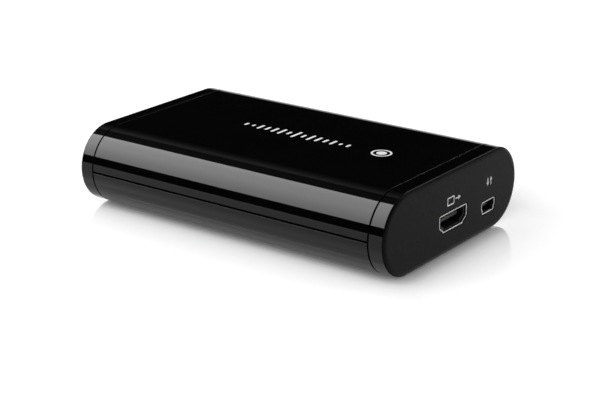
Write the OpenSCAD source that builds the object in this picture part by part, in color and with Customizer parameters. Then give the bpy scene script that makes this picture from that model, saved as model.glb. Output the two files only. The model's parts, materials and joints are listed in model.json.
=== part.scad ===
// Video capture box: two half shells that trap an end cap at each end, standing on four feet.
// Inside are the main board, its four sockets and its parts.
// X runs along the case towards the output end, Y across it and Z up.
// The origin is the middle of the plane that the feet stand on. Lengths are in millimetres.

/* [Case] */
// Length over both end caps
body_l = 123; // [116:1:150]
// Width over the round sides
body_w = 80; // [76:1:100]
// Height of the case without the feet
body_h = 27; // [26:0.5:32]
// Wall of both shells
case_wall = 2; // [1.8:0.1:2.4]
// Width of the groove that shows at every seam
seam_gap = 0.3; // [0.1:0.05:0.5]
// Play between pieces that slide into each other
fit_gap = 0.1; // [0.05:0.05:0.2]
// Height of the lip inside the long seams
lip_h = 1.5; // [1:0.1:2.5]
// Thickness of the two ribs under the top
rib_t = 1.2; // [0.8:0.1:2]
// Depth of those ribs
rib_h = 2; // [1:0.1:3]
// Distance between those ribs
rib_pitch = 40; // [30:1:50]
// Length of the sunk bare panel under the case
panel_l = 50; // [30:1:60]
// Width of that panel
panel_w = 24; // [14:1:28]
// Depth of that panel
panel_depth = 0.3; // [0.1:0.1:0.6]

/* [End caps] */
// Length of the band that shows on each cap
cap_depth = 5.7; // [4.5:0.1:8]
// Thickness of a cap's face
face_wall = 2; // [1.6:0.1:2.6]
// Rounding of a cap's outer edge
edge_r = 0.6; // [0.2:0.1:1.2]
// How far a cap reaches into the shells
spigot_l = 4; // [3:0.1:6]
// Wall of the stretch that reaches in
spigot_wall = 1.4; // [1.2:0.1:1.8]
// Height of the bead that the shells trap
bead_h = 0.5; // [0.3:0.1:0.6]
// Width of that bead
bead_w = 1; // [0.6:0.1:1.6]

/* [Feet and case screws] */
// How far the feet stand out below the case
foot_proud = 0.5; // [0.3:0.1:2]
// Depth of the pockets that the feet are set in
foot_pocket = 1; // [0.6:0.1:1.2]
// Diameter of a foot
foot_d = 9.6; // [8.5:0.1:10.5]
// Chamfer of a foot's lower edge
foot_chamfer = 0.3; // [0.1:0.1:0.6]
// Distance of the case screws from the shells' ends
screw_inset_x = 12; // [10:0.5:14]
// Distance of the case screws from the edge of the flat underside
screw_inset_y = 6; // [5.5:0.5:8]
// Diameter of the case screws
screw_d = 2.6; // [2:0.1:3]
// Diameter of their heads
screw_head_d = 4.8; // [4.2:0.1:5.2]
// Height of their heads
screw_head_h = 1.9; // [1.4:0.1:2.4]
// Height of the seat under their heads above the underside
screw_seat = 5; // [4:0.5:7]
// Length of screw that grips in the top shell
screw_grip = 8; // [5:0.5:9]
// Wall of the towers round their heads
tower_wall = 1.2; // [1:0.1:1.6]
// Wall of the top shell's bosses round the screws
boss_wall = 2.2; // [1.6:0.1:2.4]

/* [Board] */
// Thickness of the board
board_t = 1.6; // [1.2:0.1:2]
// Height of the posts under the board
post_h = 2.8; // [2.4:0.1:3.4]
// Diameter of those posts
post_d = 5.6; // [5:0.1:7]
// Gap between the board's ends and the caps
board_end_gap = 1; // [0.5:0.1:2]
// Gap between the board's long edges and the caps
board_side_gap = 0.9; // [0.5:0.1:1.5]
// Room round what passes through the board
board_hole_gap = 0.4; // [0.2:0.1:0.6]
// Diameter of the board screws
board_screw_d = 2.5; // [2:0.1:3]
// Diameter of their heads
board_screw_head_d = 4.6; // [4:0.1:5.2]
// Height of their heads
board_screw_head_h = 1.6; // [1.2:0.1:2]
// Length of board screw that grips in a post
board_screw_grip = 2.6; // [2:0.1:3]
// Distance of the board screws from the board's long edges
board_screw_inset = 4; // [3.5:0.5:5]
// Distance along the case from a case screw to the next board screw
board_screw_step = 14; // [12:1:16]

/* [All sockets] */
// How far the sockets' rims lie behind the caps' faces
socket_flush = 0.15; // [0.05:0.05:0.3]
// Sheet thickness of the sockets' shells
socket_wall = 0.4; // [0.3:0.05:0.5]
// Width of the bright rim round a socket
rim_t = 0.55; // [0.4:0.05:0.6]
// Depth of that rim, and again of the shelf behind it
rim_depth = 0.6; // [0.4:0.1:0.8]
// Room between a rim and its cap
rim_gap = 0.12; // [0.05:0.01:0.2]
// Width of a socket's soldered legs
leg_w = 1.2; // [0.8:0.1:1.4]
// Thickness of the contacts
contact_t = 0.15; // [0.1:0.05:0.2]
// Length of a contact's foot on the board
contact_foot = 0.8; // [0.5:0.1:1]
// Length of the block that holds the contacts
block_l = 3; // [2:0.1:3.5]

/* [Video sockets] */
// Place of the output socket across its cap
video_out_y = 0; // [-4:0.5:4]
// Place of the input socket across its cap
video_in_y = -12; // [-14:0.5:-11]
// Width of the mouth
video_mouth_w = 14; // [13:0.1:14.4]
// Height of the mouth
video_mouth_h = 4.6; // [4.3:0.1:4.9]
// Width of the rim
video_rim_w = 16.7; // [16.4:0.1:17.5]
// Height of the rim
video_rim_h = 6.2; // [6:0.1:6.8]
// How far the lower corners step in
video_cut = 2.3; // [1.8:0.1:2.5]
// Height at which the lower corners start to slope in
video_cut_top = 2; // [1.5:0.1:2.4]
// Height at which that slope ends
video_cut_foot = 0.5; // [0.2:0.1:0.8]
// Depth of the socket
video_depth = 11.5; // [10:0.1:12]
// Height of its shell above the board
video_lift = 1.3; // [0.8:0.1:1.6]
// Width of its tongue
video_tongue_w = 11.4; // [11:0.1:12]
// Thickness of its tongue
video_tongue_t = 1; // [0.8:0.1:1.2]
// Height of the tongue's middle above the mouth's lower side
video_tongue_up = 2.6; // [2.2:0.1:2.8]
// How far the tongue's tip lies behind the rim
video_tongue_back = 2; // [1:0.1:3]
// Contacts in the upper row, one more than in the lower
video_pins = 10; // [6:1:10]
// Distance between contacts
video_pin_pitch = 1; // [0.9:0.05:1.1]
// Width of a contact
video_pin_w = 0.4; // [0.3:0.05:0.4]

/* [Data socket] */
// Distance of the socket's middle from the case's side
data_inset = 18; // [16:0.5:22]
// Width of the mouth
data_mouth_w = 6.9; // [6.6:0.1:7.2]
// Height of the mouth
data_mouth_h = 3.1; // [2.9:0.1:3.4]
// Width of the rim
data_rim_w = 8.7; // [8.5:0.1:9.2]
// Height of the rim
data_rim_h = 4.4; // [4.2:0.1:4.6]
// How far the lower half steps in
data_cut = 0.6; // [0.4:0.1:0.8]
// Height at which the lower half starts to slope in
data_cut_top = 1.9; // [1.7:0.1:2.2]
// Height at which that slope ends
data_cut_foot = 1.3; // [1:0.1:1.5]
// Depth of the socket
data_depth = 8.2; // [7.8:0.1:9]
// Height of its shell above the board
data_lift = 0.1; // [0.05:0.05:0.3]
// Width of its tongue
data_tongue_w = 4.2; // [3.9:0.1:4.4]
// Thickness of its tongue
data_tongue_t = 0.8; // [0.6:0.1:1]
// Height of the tongue's middle above the mouth's lower side
data_tongue_up = 1.7; // [1.5:0.1:1.9]
// How far the tongue's tip lies behind the rim
data_tongue_back = 1.6; // [1:0.1:2]
// Number of contacts, all under the tongue
data_pins = 5; // [4:1:5]
// Distance between contacts
data_pin_pitch = 0.8; // [0.7:0.05:0.85]
// Width of a contact
data_pin_w = 0.4; // [0.3:0.05:0.5]

/* [Analogue socket] */
// Place of the socket across its cap
analogue_y = 12.5; // [11:0.5:13.5]
// Width of the mouth
analogue_mouth_w = 18; // [17:0.1:18.4]
// Height of the mouth
analogue_mouth_h = 5; // [4.7:0.1:5.2]
// Width of the rim
analogue_rim_w = 20.4; // [20:0.1:21]
// Height of the rim
analogue_rim_h = 6.6; // [6.4:0.1:7]
// How far the lower corners step in
analogue_cut = 1.6; // [1.2:0.1:2]
// Height at which the lower corners start to slope in
analogue_cut_top = 3; // [2.5:0.1:3.4]
// Height at which that slope ends
analogue_cut_foot = 1.4; // [1:0.1:1.8]
// Depth of the socket
analogue_depth = 11.4; // [10:0.1:11.8]
// Height of its shell above the board
analogue_lift = 0.9; // [0.5:0.1:1.2]
// Width of its tongue
analogue_tongue_w = 13.6; // [13.2:0.1:14]
// Thickness of its tongue
analogue_tongue_t = 1.4; // [1.2:0.1:1.6]
// Height of the tongue's middle above the mouth's lower side
analogue_tongue_up = 2.6; // [2.4:0.1:2.8]
// How far the tongue's tip lies behind the rim
analogue_tongue_back = 2; // [1:0.1:3]
// Contacts in the upper row, one more than in the lower
analogue_pins = 6; // [4:1:6]
// Distance between contacts
analogue_pin_pitch = 2.2; // [1.8:0.1:2.2]
// Width of a contact
analogue_pin_w = 0.9; // [0.6:0.1:0.9]

/* [Encoder and heat sink] */
// Side of the encoder chip's carrier
encoder_w = 21; // [18:0.5:22]
// Thickness of the carrier
encoder_carrier_t = 0.7; // [0.5:0.1:1]
// Side of the moulded block on the carrier
encoder_block_w = 17; // [14:0.5:17.5]
// Thickness of that block
encoder_block_t = 1.2; // [0.8:0.1:1.5]
// Thickness of the thermal pad
pad_t = 0.5; // [0.3:0.1:1]
// Side of the heat sink
sink_w = 22; // [18:0.5:23]
// Thickness of the heat sink's base
sink_base_t = 2; // [1.5:0.1:3]
// Height of its fins
fin_h = 7; // [4:0.5:9]
// Thickness of its fins
fin_t = 1.2; // [0.8:0.1:1.4]
// Number of its fins
fin_count = 7; // [5:1:8]

/* [Chips] */
// Side of the receiver and decoder chips
large_chip_w = 12; // [10:0.5:12]
// Side of the transmitter chip
small_chip_w = 10; // [8:0.5:10]
// Thickness of the leaded chips
chip_t = 1.4; // [1:0.1:1.8]
// Leads along each side of a large chip
large_chip_leads = 16; // [10:1:18]
// Leads along each side of the small chip
small_chip_leads = 12; // [8:1:14]
// Length of a lead
lead_l = 1; // [0.6:0.1:1.2]
// Width of a lead
lead_w = 0.28; // [0.2:0.02:0.3]
// Length of a memory chip
memory_l = 12.5; // [11:0.5:12.5]
// Width of a memory chip
memory_w = 8; // [7:0.5:8.5]
// Side of the bus controller chip
bus_chip_w = 8; // [6:0.5:8]
// Thickness of the chips without leads
flat_chip_t = 1.1; // [0.8:0.1:1.4]
// Length of the flash chip
flash_l = 5; // [4:0.5:5]
// Width of the flash chip
flash_w = 4; // [3.5:0.5:5]

/* [Small parts] */
// Side of a power inductor
inductor_w = 6; // [5:0.2:6.2]
// Height of a power inductor
inductor_h = 3.8; // [3:0.1:5]
// Diameter of an electrolytic capacitor's can
can_d = 6; // [5:0.1:6.2]
// Height of that can
can_h = 6.4; // [5:0.1:8]
// Thickness of the base under it
can_base_t = 1; // [0.6:0.1:1.4]
// Distance between the parts in the rows along the board's long edges
row_pitch = 6.7; // [6.5:0.1:6.9]
// Length of a voltage regulator
regulator_l = 6.5; // [5:0.1:7]
// Width of a voltage regulator
regulator_w = 3.5; // [3:0.1:4]
// Thickness of a voltage regulator
regulator_t = 1.6; // [1.2:0.1:2]
// Length of a crystal's can
crystal_l = 7; // [6:0.1:7.6]
// Width of a crystal's can
crystal_w = 3.2; // [2.8:0.1:3.4]
// Height of a crystal's can
crystal_h = 2.2; // [1.8:0.1:2.4]
// Length of a chip capacitor
chip_cap_l = 1.6; // [1.2:0.1:1.8]
// Width of a chip capacitor
chip_cap_w = 0.8; // [0.6:0.1:1]
// Chip capacitors in each of the two rows
chip_cap_count = 11; // [6:1:12]
// Distance between them
chip_cap_pitch = 2.8; // [2.4:0.1:2.8]
// Length of a filter beside a video socket
filter_l = 2; // [1.6:0.1:2]
// Width of that filter
filter_w = 1.2; // [1:0.1:1.4]
// Height of that filter
filter_h = 1; // [0.8:0.1:1.2]
// Filters beside each video socket
filter_count = 4; // [3:1:4]
// Distance between them
filter_pitch = 2.4; // [2:0.1:2.6]

/* [Hidden] */
$fn = 96;

// Extra length of a cut past the face that it goes through
past = 1;
// Depth by which a rib, boss or post is rooted in a wall
root = case_wall / 2;
// Play round a screw's thread and round its shank
thread_gap = 0.05;
shank_gap = 0.2;
// Room beside a screw head in its well, and under a screw's tip
head_gap = 0.4;
tip_gap = 1;
// Share of a screw head's width that its cross recess takes, its slot's width and depth
cross_span = 0.65;
cross_w = 0.6;
cross_depth = 0.9;
// Room kept round parts that stand next to each other on the board
part_gap = 0.6;
// Chip details: gap under the body, lead's sheet, mark at the first lead
chip_gap = 0.1;
lead_t = 0.15;
dot_d = 1;
dot_depth = 0.1;

// The case's section: half circles of side_r at the sides, flat_half from the middle
side_r = body_h / 2;
flat_half = body_w / 2 - side_r;
under_z = foot_proud;
mid_z = under_z + side_r;
top_z = under_z + body_h;
inner_r = side_r - case_wall;
// The lip stands on the inner half of the wall
rebate_r = side_r - case_wall / 2;
lip_r = rebate_r - fit_gap;

// The caps: face, seam and shell end along X, and the radii of what reaches in
face_x = body_l / 2;
seam_x = face_x - cap_depth;
shell_x = seam_x - seam_gap;
spigot_r = inner_r - fit_gap;
hollow_r = spigot_r - spigot_wall;
bead_r = spigot_r + bead_h;
bead_x = shell_x - spigot_l / 2;

// Case screws, their towers and bosses
screw_x = shell_x - screw_inset_x;
screw_y = flat_half - screw_inset_y;
well_d = screw_head_d + 2 * head_gap;
tower_d = well_d + 2 * tower_wall;
boss_d = screw_d + 2 * boss_wall;
seat_z = under_z + screw_seat;

// The board lies in the caps' hollow, as wide as its underside allows there
board_z = under_z + case_wall + post_h;
board_top = board_z + board_t;
board_x = face_x - face_wall - board_end_gap;
board_y = flat_half + sqrt(pow(hollow_r, 2) - pow(mid_z - board_z, 2)) - board_side_gap;
board_screw_x = screw_x - board_screw_step;
board_screw_y = board_y - board_screw_inset;

// Places on the board: the encoder off the middle, filters inside the towers, then chips
tower_room = tower_d / 2 + board_hole_gap + part_gap;
filter_x = screw_x - tower_room - filter_l / 2;
chip_side_x = screw_x - tower_room - filter_l - part_gap;
large_chip_x = chip_side_x - large_chip_w / 2 - lead_l;
small_chip_x = chip_side_x - small_chip_w / 2 - lead_l;
large_chip_y = large_chip_w / 2 + lead_l + part_gap;
bus_chip_y = small_chip_w / 2 + lead_l + part_gap + bus_chip_w / 2;
flash_y = -(small_chip_w / 2 + lead_l + part_gap + flash_l / 2);
encoder_x = -5;
encoder_t = encoder_carrier_t + encoder_block_t;
memory_x = encoder_x + max(encoder_w, sink_w) / 2 + part_gap + memory_w / 2;
memory_y = memory_l / 2 + part_gap;
// Inductors and capacitors along the -Y edge, regulators and crystals along the +Y edge
edge_row_y = board_y - inductor_w / 2 - 2 * part_gap;
row_count = 6;
function row_x(i) = (i - (row_count - 1) / 2) * row_pitch;
chip_cap_y = max(sink_w / 2, memory_y + memory_l / 2) + part_gap + chip_cap_l / 2;

// Place of the data socket across its cap
data_y = body_w / 2 - data_inset;
// How far the contacts run out behind a socket, and how far short of the tongue's tip they end
contact_out = 0.6;
contact_tip = 0.4;
// Distance from a rim's front back to the board's end, and to the front pair of legs
to_board = face_x - socket_flush - board_x;
leg_front = to_board + leg_w + part_gap;

// Outlines of mouths and rims, standing on their lower side, in Y and Z
function socket_outline(w, h, cut, cut_top, cut_foot) = [
    [cut - w / 2, 0], [w / 2 - cut, 0], [w / 2 - cut, cut_foot], [w / 2, cut_top],
    [w / 2, h], [-w / 2, h], [-w / 2, cut_top], [cut - w / 2, cut_foot]
];
video_mouth = socket_outline(video_mouth_w, video_mouth_h, video_cut, video_cut_top, video_cut_foot);
data_mouth = socket_outline(data_mouth_w, data_mouth_h, data_cut, data_cut_top, data_cut_foot);
analogue_mouth = socket_outline(
    analogue_mouth_w, analogue_mouth_h, analogue_cut, analogue_cut_top, analogue_cut_foot);
video_rim = lowered((video_rim_h - video_mouth_h) / 2,
    socket_outline(video_rim_w, video_rim_h, video_cut, video_cut_top, video_cut_foot));
data_rim = lowered((data_rim_h - data_mouth_h) / 2,
    socket_outline(data_rim_w, data_rim_h, data_cut, data_cut_top, data_cut_foot));
analogue_rim = lowered((analogue_rim_h - analogue_mouth_h) / 2,
    socket_outline(analogue_rim_w, analogue_rim_h, analogue_cut, analogue_cut_top, analogue_cut_foot));

// An outline moved down by some height
function lowered(drop, points) = [for (p = points) p - [0, drop]];

// An outline, listed anticlockwise, grown all round by a distance
function outward(a, b) = [b[1] - a[1], a[0] - b[0]] / norm(b - a);
function grown(points, by) = [
    for (i = [0 : len(points) - 1])
        let (
            n = len(points),
            before = outward(points[(i + n - 1) % n], points[i]),
            after = outward(points[i], points[(i + 1) % n])
        )
        points[i] + by * (before + after) / (1 + before * after)
];

// A flat outline in Y and Z, made solid from one X to another
module along_x(from, to) {
    translate([from, 0, 0])
        rotate([90, 0, 90])
            linear_extrude(to - from)
                children();
}

// The case's section with its sides' radius as given, about the middle height
module section(r) {
    translate([0, mid_z]) {
        square([2 * flat_half, 2 * r], center = true);
        for (side = [-1, 1])
            translate([side * flat_half, 0])
                circle(r);
    }
}

module section_bar(r, from, to) {
    along_x(from, to)
        section(r);
}

// Everything between two heights
module slab(from, to) {
    translate([-body_l, -body_w, from])
        cube([2 * body_l, 2 * body_w, to - from]);
}

// A piece at each of four places, at both signs of x and y
module at_corners(x, y) {
    for (side_x = [-1, 1], side_y = [-1, 1])
        translate([side_x * x, side_y * y, 0])
            children();
}

// A block that stands on z = 0
module block(l, w, h) {
    translate([-l / 2, -w / 2, 0])
        cube([l, w, h]);
}

// The shells' tube before it is parted, with the grooves that the caps' beads seat in
module case_tube() {
    difference() {
        section_bar(side_r, -shell_x, shell_x);
        section_bar(inner_r, -shell_x - past, shell_x + past);
        bead_grooves();
    }
}

module bead_grooves() {
    groove_w = bead_w + 2 * fit_gap;
    for (end = [-1, 1])
        section_bar(bead_r, end * bead_x - groove_w / 2, end * bead_x + groove_w / 2);
}

module top_shell() {
    color("#0b0b0c")
    difference() {
        union() {
            difference() {
                intersection() {
                    case_tube();
                    slab(mid_z + seam_gap / 2, top_z + past);
                }
                intersection() {
                    section_bar(rebate_r, -shell_x - past, shell_x + past);
                    slab(mid_z, mid_z + lip_h);
                }
            }
            at_corners(screw_x, screw_y)
                translate([0, 0, mid_z])
                    cylinder(h = side_r - root, d = boss_d);
            for (side = [-1, 1])
                translate([side * rib_pitch / 2, 0, top_z - case_wall - rib_h])
                    block(rib_t, 2 * flat_half, rib_h + root);
        }
        at_corners(screw_x, screw_y)
            translate([0, 0, mid_z - past])
                cylinder(h = screw_grip + tip_gap + past, d = screw_d + 2 * thread_gap);
    }
}

module bottom_shell() {
    color("#111112")
    difference() {
        union() {
            intersection() {
                case_tube();
                slab(under_z - past, mid_z - seam_gap / 2);
            }
            seam_lip();
            at_corners(screw_x, screw_y)
                translate([0, 0, under_z + root])
                    cylinder(h = side_r - root, d = tower_d);
            at_corners(board_screw_x, board_screw_y)
                translate([0, 0, under_z + root])
                    cylinder(h = board_z - under_z - root, d = post_d);
        }
        at_corners(screw_x, screw_y) {
            translate([0, 0, under_z - past])
                cylinder(h = foot_pocket + past, d = foot_d + 2 * fit_gap);
            translate([0, 0, under_z])
                cylinder(h = screw_seat, d = well_d);
            translate([0, 0, under_z])
                cylinder(h = side_r + past, d = screw_d + 2 * shank_gap);
        }
        at_corners(board_screw_x, board_screw_y)
            translate([0, 0, board_z - board_screw_grip - tip_gap / 2])
                cylinder(h = board_screw_grip + tip_gap / 2 + past, d = board_screw_d + 2 * thread_gap);
        translate([0, 0, under_z - past])
            block(panel_l, panel_w, panel_depth + past);
    }
}

// The lip on the inner half of the bottom shell's wall, which the top shell's rebate takes
module seam_lip() {
    intersection() {
        difference() {
            section_bar(lip_r, -shell_x, shell_x);
            section_bar(inner_r, -shell_x - past, shell_x + past);
            bead_grooves();
        }
        slab(mid_z - seam_gap / 2 - root, mid_z + lip_h);
    }
}

// A cap for the output end, without its cut-outs
module cap_blank() {
    difference() {
        union() {
            rounded_band();
            section_bar(spigot_r, shell_x - spigot_l, seam_x + past);
            section_bar(bead_r, bead_x - bead_w / 2, bead_x + bead_w / 2);
        }
        section_bar(hollow_r, shell_x - spigot_l - past, face_x - face_wall);
    }
}

// The band and face of a cap, with the round outer edge swept along the case's section
module rounded_band() {
    translate([seam_x, 0, mid_z]) {
        for (side = [-1, 1])
            translate([0, side * flat_half, 0])
                rotate([0, 90, 0])
                    rotate([0, 0, side * 90 - 90])
                        rotate_extrude(angle = 180)
                            band_profile();
        for (up = [0, 1])
            mirror([0, 0, up])
                rotate([-90, 0, 0])
                    rotate([0, 0, -90])
                        linear_extrude(2 * flat_half, center = true)
                            band_profile();
    }
}

// From the middle out to the side along X, and from the seam to the face along Y
module band_profile() {
    square([side_r, cap_depth - edge_r]);
    square([side_r - edge_r, cap_depth]);
    translate([side_r - edge_r, cap_depth - edge_r])
        circle(edge_r);
}

// The opening in a cap for one socket's rim
module rim_cutout(rim, y, mouth_z) {
    translate([0, y, mouth_z])
        along_x(face_x - face_wall - past, face_x + past)
            polygon(grown(rim, rim_gap));
}

module output_end_cap() {
    color("#161617")
    difference() {
        cap_blank();
        rim_cutout(video_rim, video_out_y, mouth_height(video_lift));
        rim_cutout(data_rim, data_y, mouth_height(data_lift));
    }
}

module input_end_cap() {
    color("#161617")
    rotate([0, 0, 180])
        difference() {
            cap_blank();
            rim_cutout(video_rim, -video_in_y, mouth_height(video_lift));
            rim_cutout(analogue_rim, -analogue_y, mouth_height(analogue_lift));
        }
}

module rubber_feet() {
    color("#1d1d1d")
    at_corners(screw_x, screw_y) {
        cylinder(h = foot_chamfer, d1 = foot_d - 2 * foot_chamfer, d2 = foot_d);
        translate([0, 0, foot_chamfer])
            cylinder(h = foot_proud + foot_pocket - foot_chamfer, d = foot_d);
    }
}

// A screw with its head under z = 0, its tip up, and a cross recess in the head
module screw(d, l, head_d, head_h) {
    difference() {
        union() {
            cylinder(h = l, d = d);
            translate([0, 0, -head_h])
                cylinder(h = head_h, d = head_d);
        }
        for (turn = [0, 90])
            rotate([0, 0, turn])
                translate([0, 0, -head_h - past])
                    block(cross_span * head_d, cross_w, cross_depth + past);
    }
}

module case_screws() {
    color("#8d9094")
    at_corners(screw_x, screw_y)
        translate([0, 0, seat_z])
            screw(screw_d, mid_z + screw_grip - seat_z, screw_head_d, screw_head_h);
}

module board_screws() {
    color("#b4b6ba")
    at_corners(board_screw_x, board_screw_y)
        translate([0, 0, board_top])
            mirror([0, 0, 1])
                screw(board_screw_d, board_t + board_screw_grip, board_screw_head_d, board_screw_head_h);
}

module main_board() {
    color("#1f5a38")
    difference() {
        translate([0, 0, board_z])
            block(2 * board_x, 2 * board_y, board_t);
        translate([0, 0, board_z - past]) {
            at_corners(screw_x, screw_y)
                cylinder(h = board_t + 2 * past, d = tower_d + 2 * board_hole_gap);
            at_corners(board_screw_x, board_screw_y)
                cylinder(h = board_t + 2 * past, d = board_screw_d + board_hole_gap);
        }
        at_socket(1, video_out_y, video_lift)
            leg_slots(video_mouth_w, video_depth, video_lift);
        at_socket(1, data_y, data_lift)
            leg_slots(data_mouth_w, data_depth, data_lift);
        at_socket(-1, video_in_y, video_lift)
            leg_slots(video_mouth_w, video_depth, video_lift);
        at_socket(-1, analogue_y, analogue_lift)
            leg_slots(analogue_mouth_w, analogue_depth, analogue_lift);
    }
}

// Height of a mouth's lower side, over a shell that stands some height above the board
function mouth_height(lift) = board_top + lift + socket_wall;

// A socket at an end, with its rim's front at x = 0, facing +X, and its mouth standing on z = 0
module at_socket(end, y, lift) {
    translate([end * (face_x - socket_flush), y, mouth_height(lift)])
        rotate([0, 0, 90 - 90 * end])
            children();
}

// A socket's metal shell: the drawn tube, the rim with the shelf behind it, and four legs
module socket_shell(mouth, rim, mouth_w, mouth_h, depth, lift) {
    difference() {
        union() {
            along_x(-depth, -rim_depth)
                polygon(grown(mouth, socket_wall));
            along_x(-2 * rim_depth, 0)
                polygon(rim);
            leg_bars(mouth_w, depth, 0, -(socket_wall + lift + board_t), mouth_h);
        }
        along_x(-depth - past, past)
            polygon(mouth);
        along_x(-rim_depth, past)
            polygon(grown(rim, -rim_t));
    }
}

// Bars down both sides of a socket where its legs stand
module leg_bars(mouth_w, depth, room, from, to) {
    for (side = [-1, 1], x = [leg_front, depth - leg_w])
        translate([-x, side * (mouth_w + socket_wall) / 2, from])
            block(leg_w + 2 * room, socket_wall + 2 * room, to - from);
}

// The slots in the board that the legs are soldered in
module leg_slots(mouth_w, depth, lift) {
    leg_bars(mouth_w, depth, board_hole_gap / 2, -(socket_wall + lift + board_t + past), 0);
}

// A row of contacts along one face of a tongue, out through the block and down to the board
module contact_row(count, pitch, w, z, depth, lift, tongue_back) {
    board_level = -(socket_wall + lift);
    rear = depth + contact_out;
    for (i = [0 : count - 1])
        translate([-rear, (i - (count - 1) / 2) * pitch - w / 2, 0]) {
            translate([0, 0, z])
                cube([rear - tongue_back - contact_tip, w, contact_t]);
            translate([-contact_t, 0, board_level])
                cube([contact_t, w, z + contact_t - board_level]);
            translate([-contact_t - contact_foot, 0, board_level])
                cube([contact_foot + contact_t, w, contact_t]);
        }
}

// The block at the back of a socket with its tongue, before the contacts' channels are cut
module tongue_blank(mouth, depth, tongue_w, tongue_t, tongue_up, tongue_back) {
    along_x(-depth, block_l - depth)
        polygon(mouth);
    translate([block_l - depth - past, -tongue_w / 2, tongue_up - tongue_t / 2])
        cube([depth - block_l + past - tongue_back, tongue_w, tongue_t]);
}

module video_shell() {
    socket_shell(video_mouth, video_rim, video_mouth_w, video_mouth_h, video_depth, video_lift);
}

module video_contacts() {
    contact_row(video_pins, video_pin_pitch, video_pin_w, video_tongue_up + video_tongue_t / 2,
        video_depth, video_lift, video_tongue_back);
    contact_row(video_pins - 1, video_pin_pitch, video_pin_w,
        video_tongue_up - video_tongue_t / 2 - contact_t, video_depth, video_lift, video_tongue_back);
}

module video_insulator() {
    difference() {
        tongue_blank(video_mouth, video_depth, video_tongue_w, video_tongue_t,
            video_tongue_up, video_tongue_back);
        video_contacts();
    }
}

module video_out_shell() {
    color("#b9bbbf")
    at_socket(1, video_out_y, video_lift)
        video_shell();
}

module video_out_insulator() {
    color("#1a1a1b")
    at_socket(1, video_out_y, video_lift)
        video_insulator();
}

module video_out_contacts() {
    color("#c9a34a")
    at_socket(1, video_out_y, video_lift)
        video_contacts();
}

module video_in_shell() {
    color("#b9bbbf")
    at_socket(-1, video_in_y, video_lift)
        video_shell();
}

module video_in_insulator() {
    color("#1a1a1b")
    at_socket(-1, video_in_y, video_lift)
        video_insulator();
}

module video_in_contacts() {
    color("#c9a34a")
    at_socket(-1, video_in_y, video_lift)
        video_contacts();
}

module data_shell() {
    color("#b9bbbf")
    at_socket(1, data_y, data_lift)
        socket_shell(data_mouth, data_rim, data_mouth_w, data_mouth_h, data_depth, data_lift);
}

module data_pins_row() {
    contact_row(data_pins, data_pin_pitch, data_pin_w, data_tongue_up - data_tongue_t / 2 - contact_t,
        data_depth, data_lift, data_tongue_back);
}

module data_insulator() {
    color("#1a1a1b")
    at_socket(1, data_y, data_lift)
        difference() {
            tongue_blank(data_mouth, data_depth, data_tongue_w, data_tongue_t,
                data_tongue_up, data_tongue_back);
            data_pins_row();
        }
}

module data_contacts() {
    color("#c9a34a")
    at_socket(1, data_y, data_lift)
        data_pins_row();
}

module analogue_shell() {
    color("#b9bbbf")
    at_socket(-1, analogue_y, analogue_lift)
        socket_shell(analogue_mouth, analogue_rim, analogue_mouth_w, analogue_mouth_h,
            analogue_depth, analogue_lift);
}

// The lower row stands half a step aside, so that the two rows' feet stay apart
module analogue_pin_rows() {
    contact_row(analogue_pins, analogue_pin_pitch, analogue_pin_w,
        analogue_tongue_up + analogue_tongue_t / 2, analogue_depth, analogue_lift, analogue_tongue_back);
    contact_row(analogue_pins - 1, analogue_pin_pitch, analogue_pin_w,
        analogue_tongue_up - analogue_tongue_t / 2 - contact_t,
        analogue_depth, analogue_lift, analogue_tongue_back);
}

module analogue_insulator() {
    color("#1a1a1b")
    at_socket(-1, analogue_y, analogue_lift)
        difference() {
            tongue_blank(analogue_mouth, analogue_depth, analogue_tongue_w, analogue_tongue_t,
                analogue_tongue_up, analogue_tongue_back);
            analogue_pin_rows();
        }
}

module analogue_contacts() {
    color("#c9a34a")
    at_socket(-1, analogue_y, analogue_lift)
        analogue_pin_rows();
}

// A piece that stands on the board
module on_board(x, y) {
    translate([x, y, board_top])
        children();
}

// The shallow round mark near one corner of a chip's top
module first_lead_mark(w, h) {
    translate([dot_d - w / 2, dot_d - w / 2, h - dot_depth])
        cylinder(h = dot_depth + past, d = dot_d);
}

module encoder_chip() {
    color("#20242a")
    on_board(encoder_x, 0) {
        block(encoder_w, encoder_w, encoder_carrier_t);
        translate([0, 0, encoder_carrier_t])
            block(encoder_block_w, encoder_block_w, encoder_block_t);
    }
}

module thermal_pad() {
    color("#9fb6c4")
    on_board(encoder_x, 0)
        translate([0, 0, encoder_t])
            block(encoder_block_w, encoder_block_w, pad_t);
}

module heat_sink() {
    color("#a7aaae")
    on_board(encoder_x, 0)
        translate([0, 0, encoder_t + pad_t]) {
            block(sink_w, sink_w, sink_base_t);
            for (i = [0 : fin_count - 1])
                translate([0, (sink_w - fin_t) * (i / (fin_count - 1) - 0.5), sink_base_t / 2])
                    block(sink_w, fin_t, sink_base_t / 2 + fin_h);
        }
}

module memory_chips() {
    color("#1b1c1e")
    for (side = [-1, 1])
        on_board(memory_x, side * memory_y)
            difference() {
                block(memory_w, memory_l, flat_chip_t);
                first_lead_mark(memory_w, flat_chip_t);
            }
}

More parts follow.
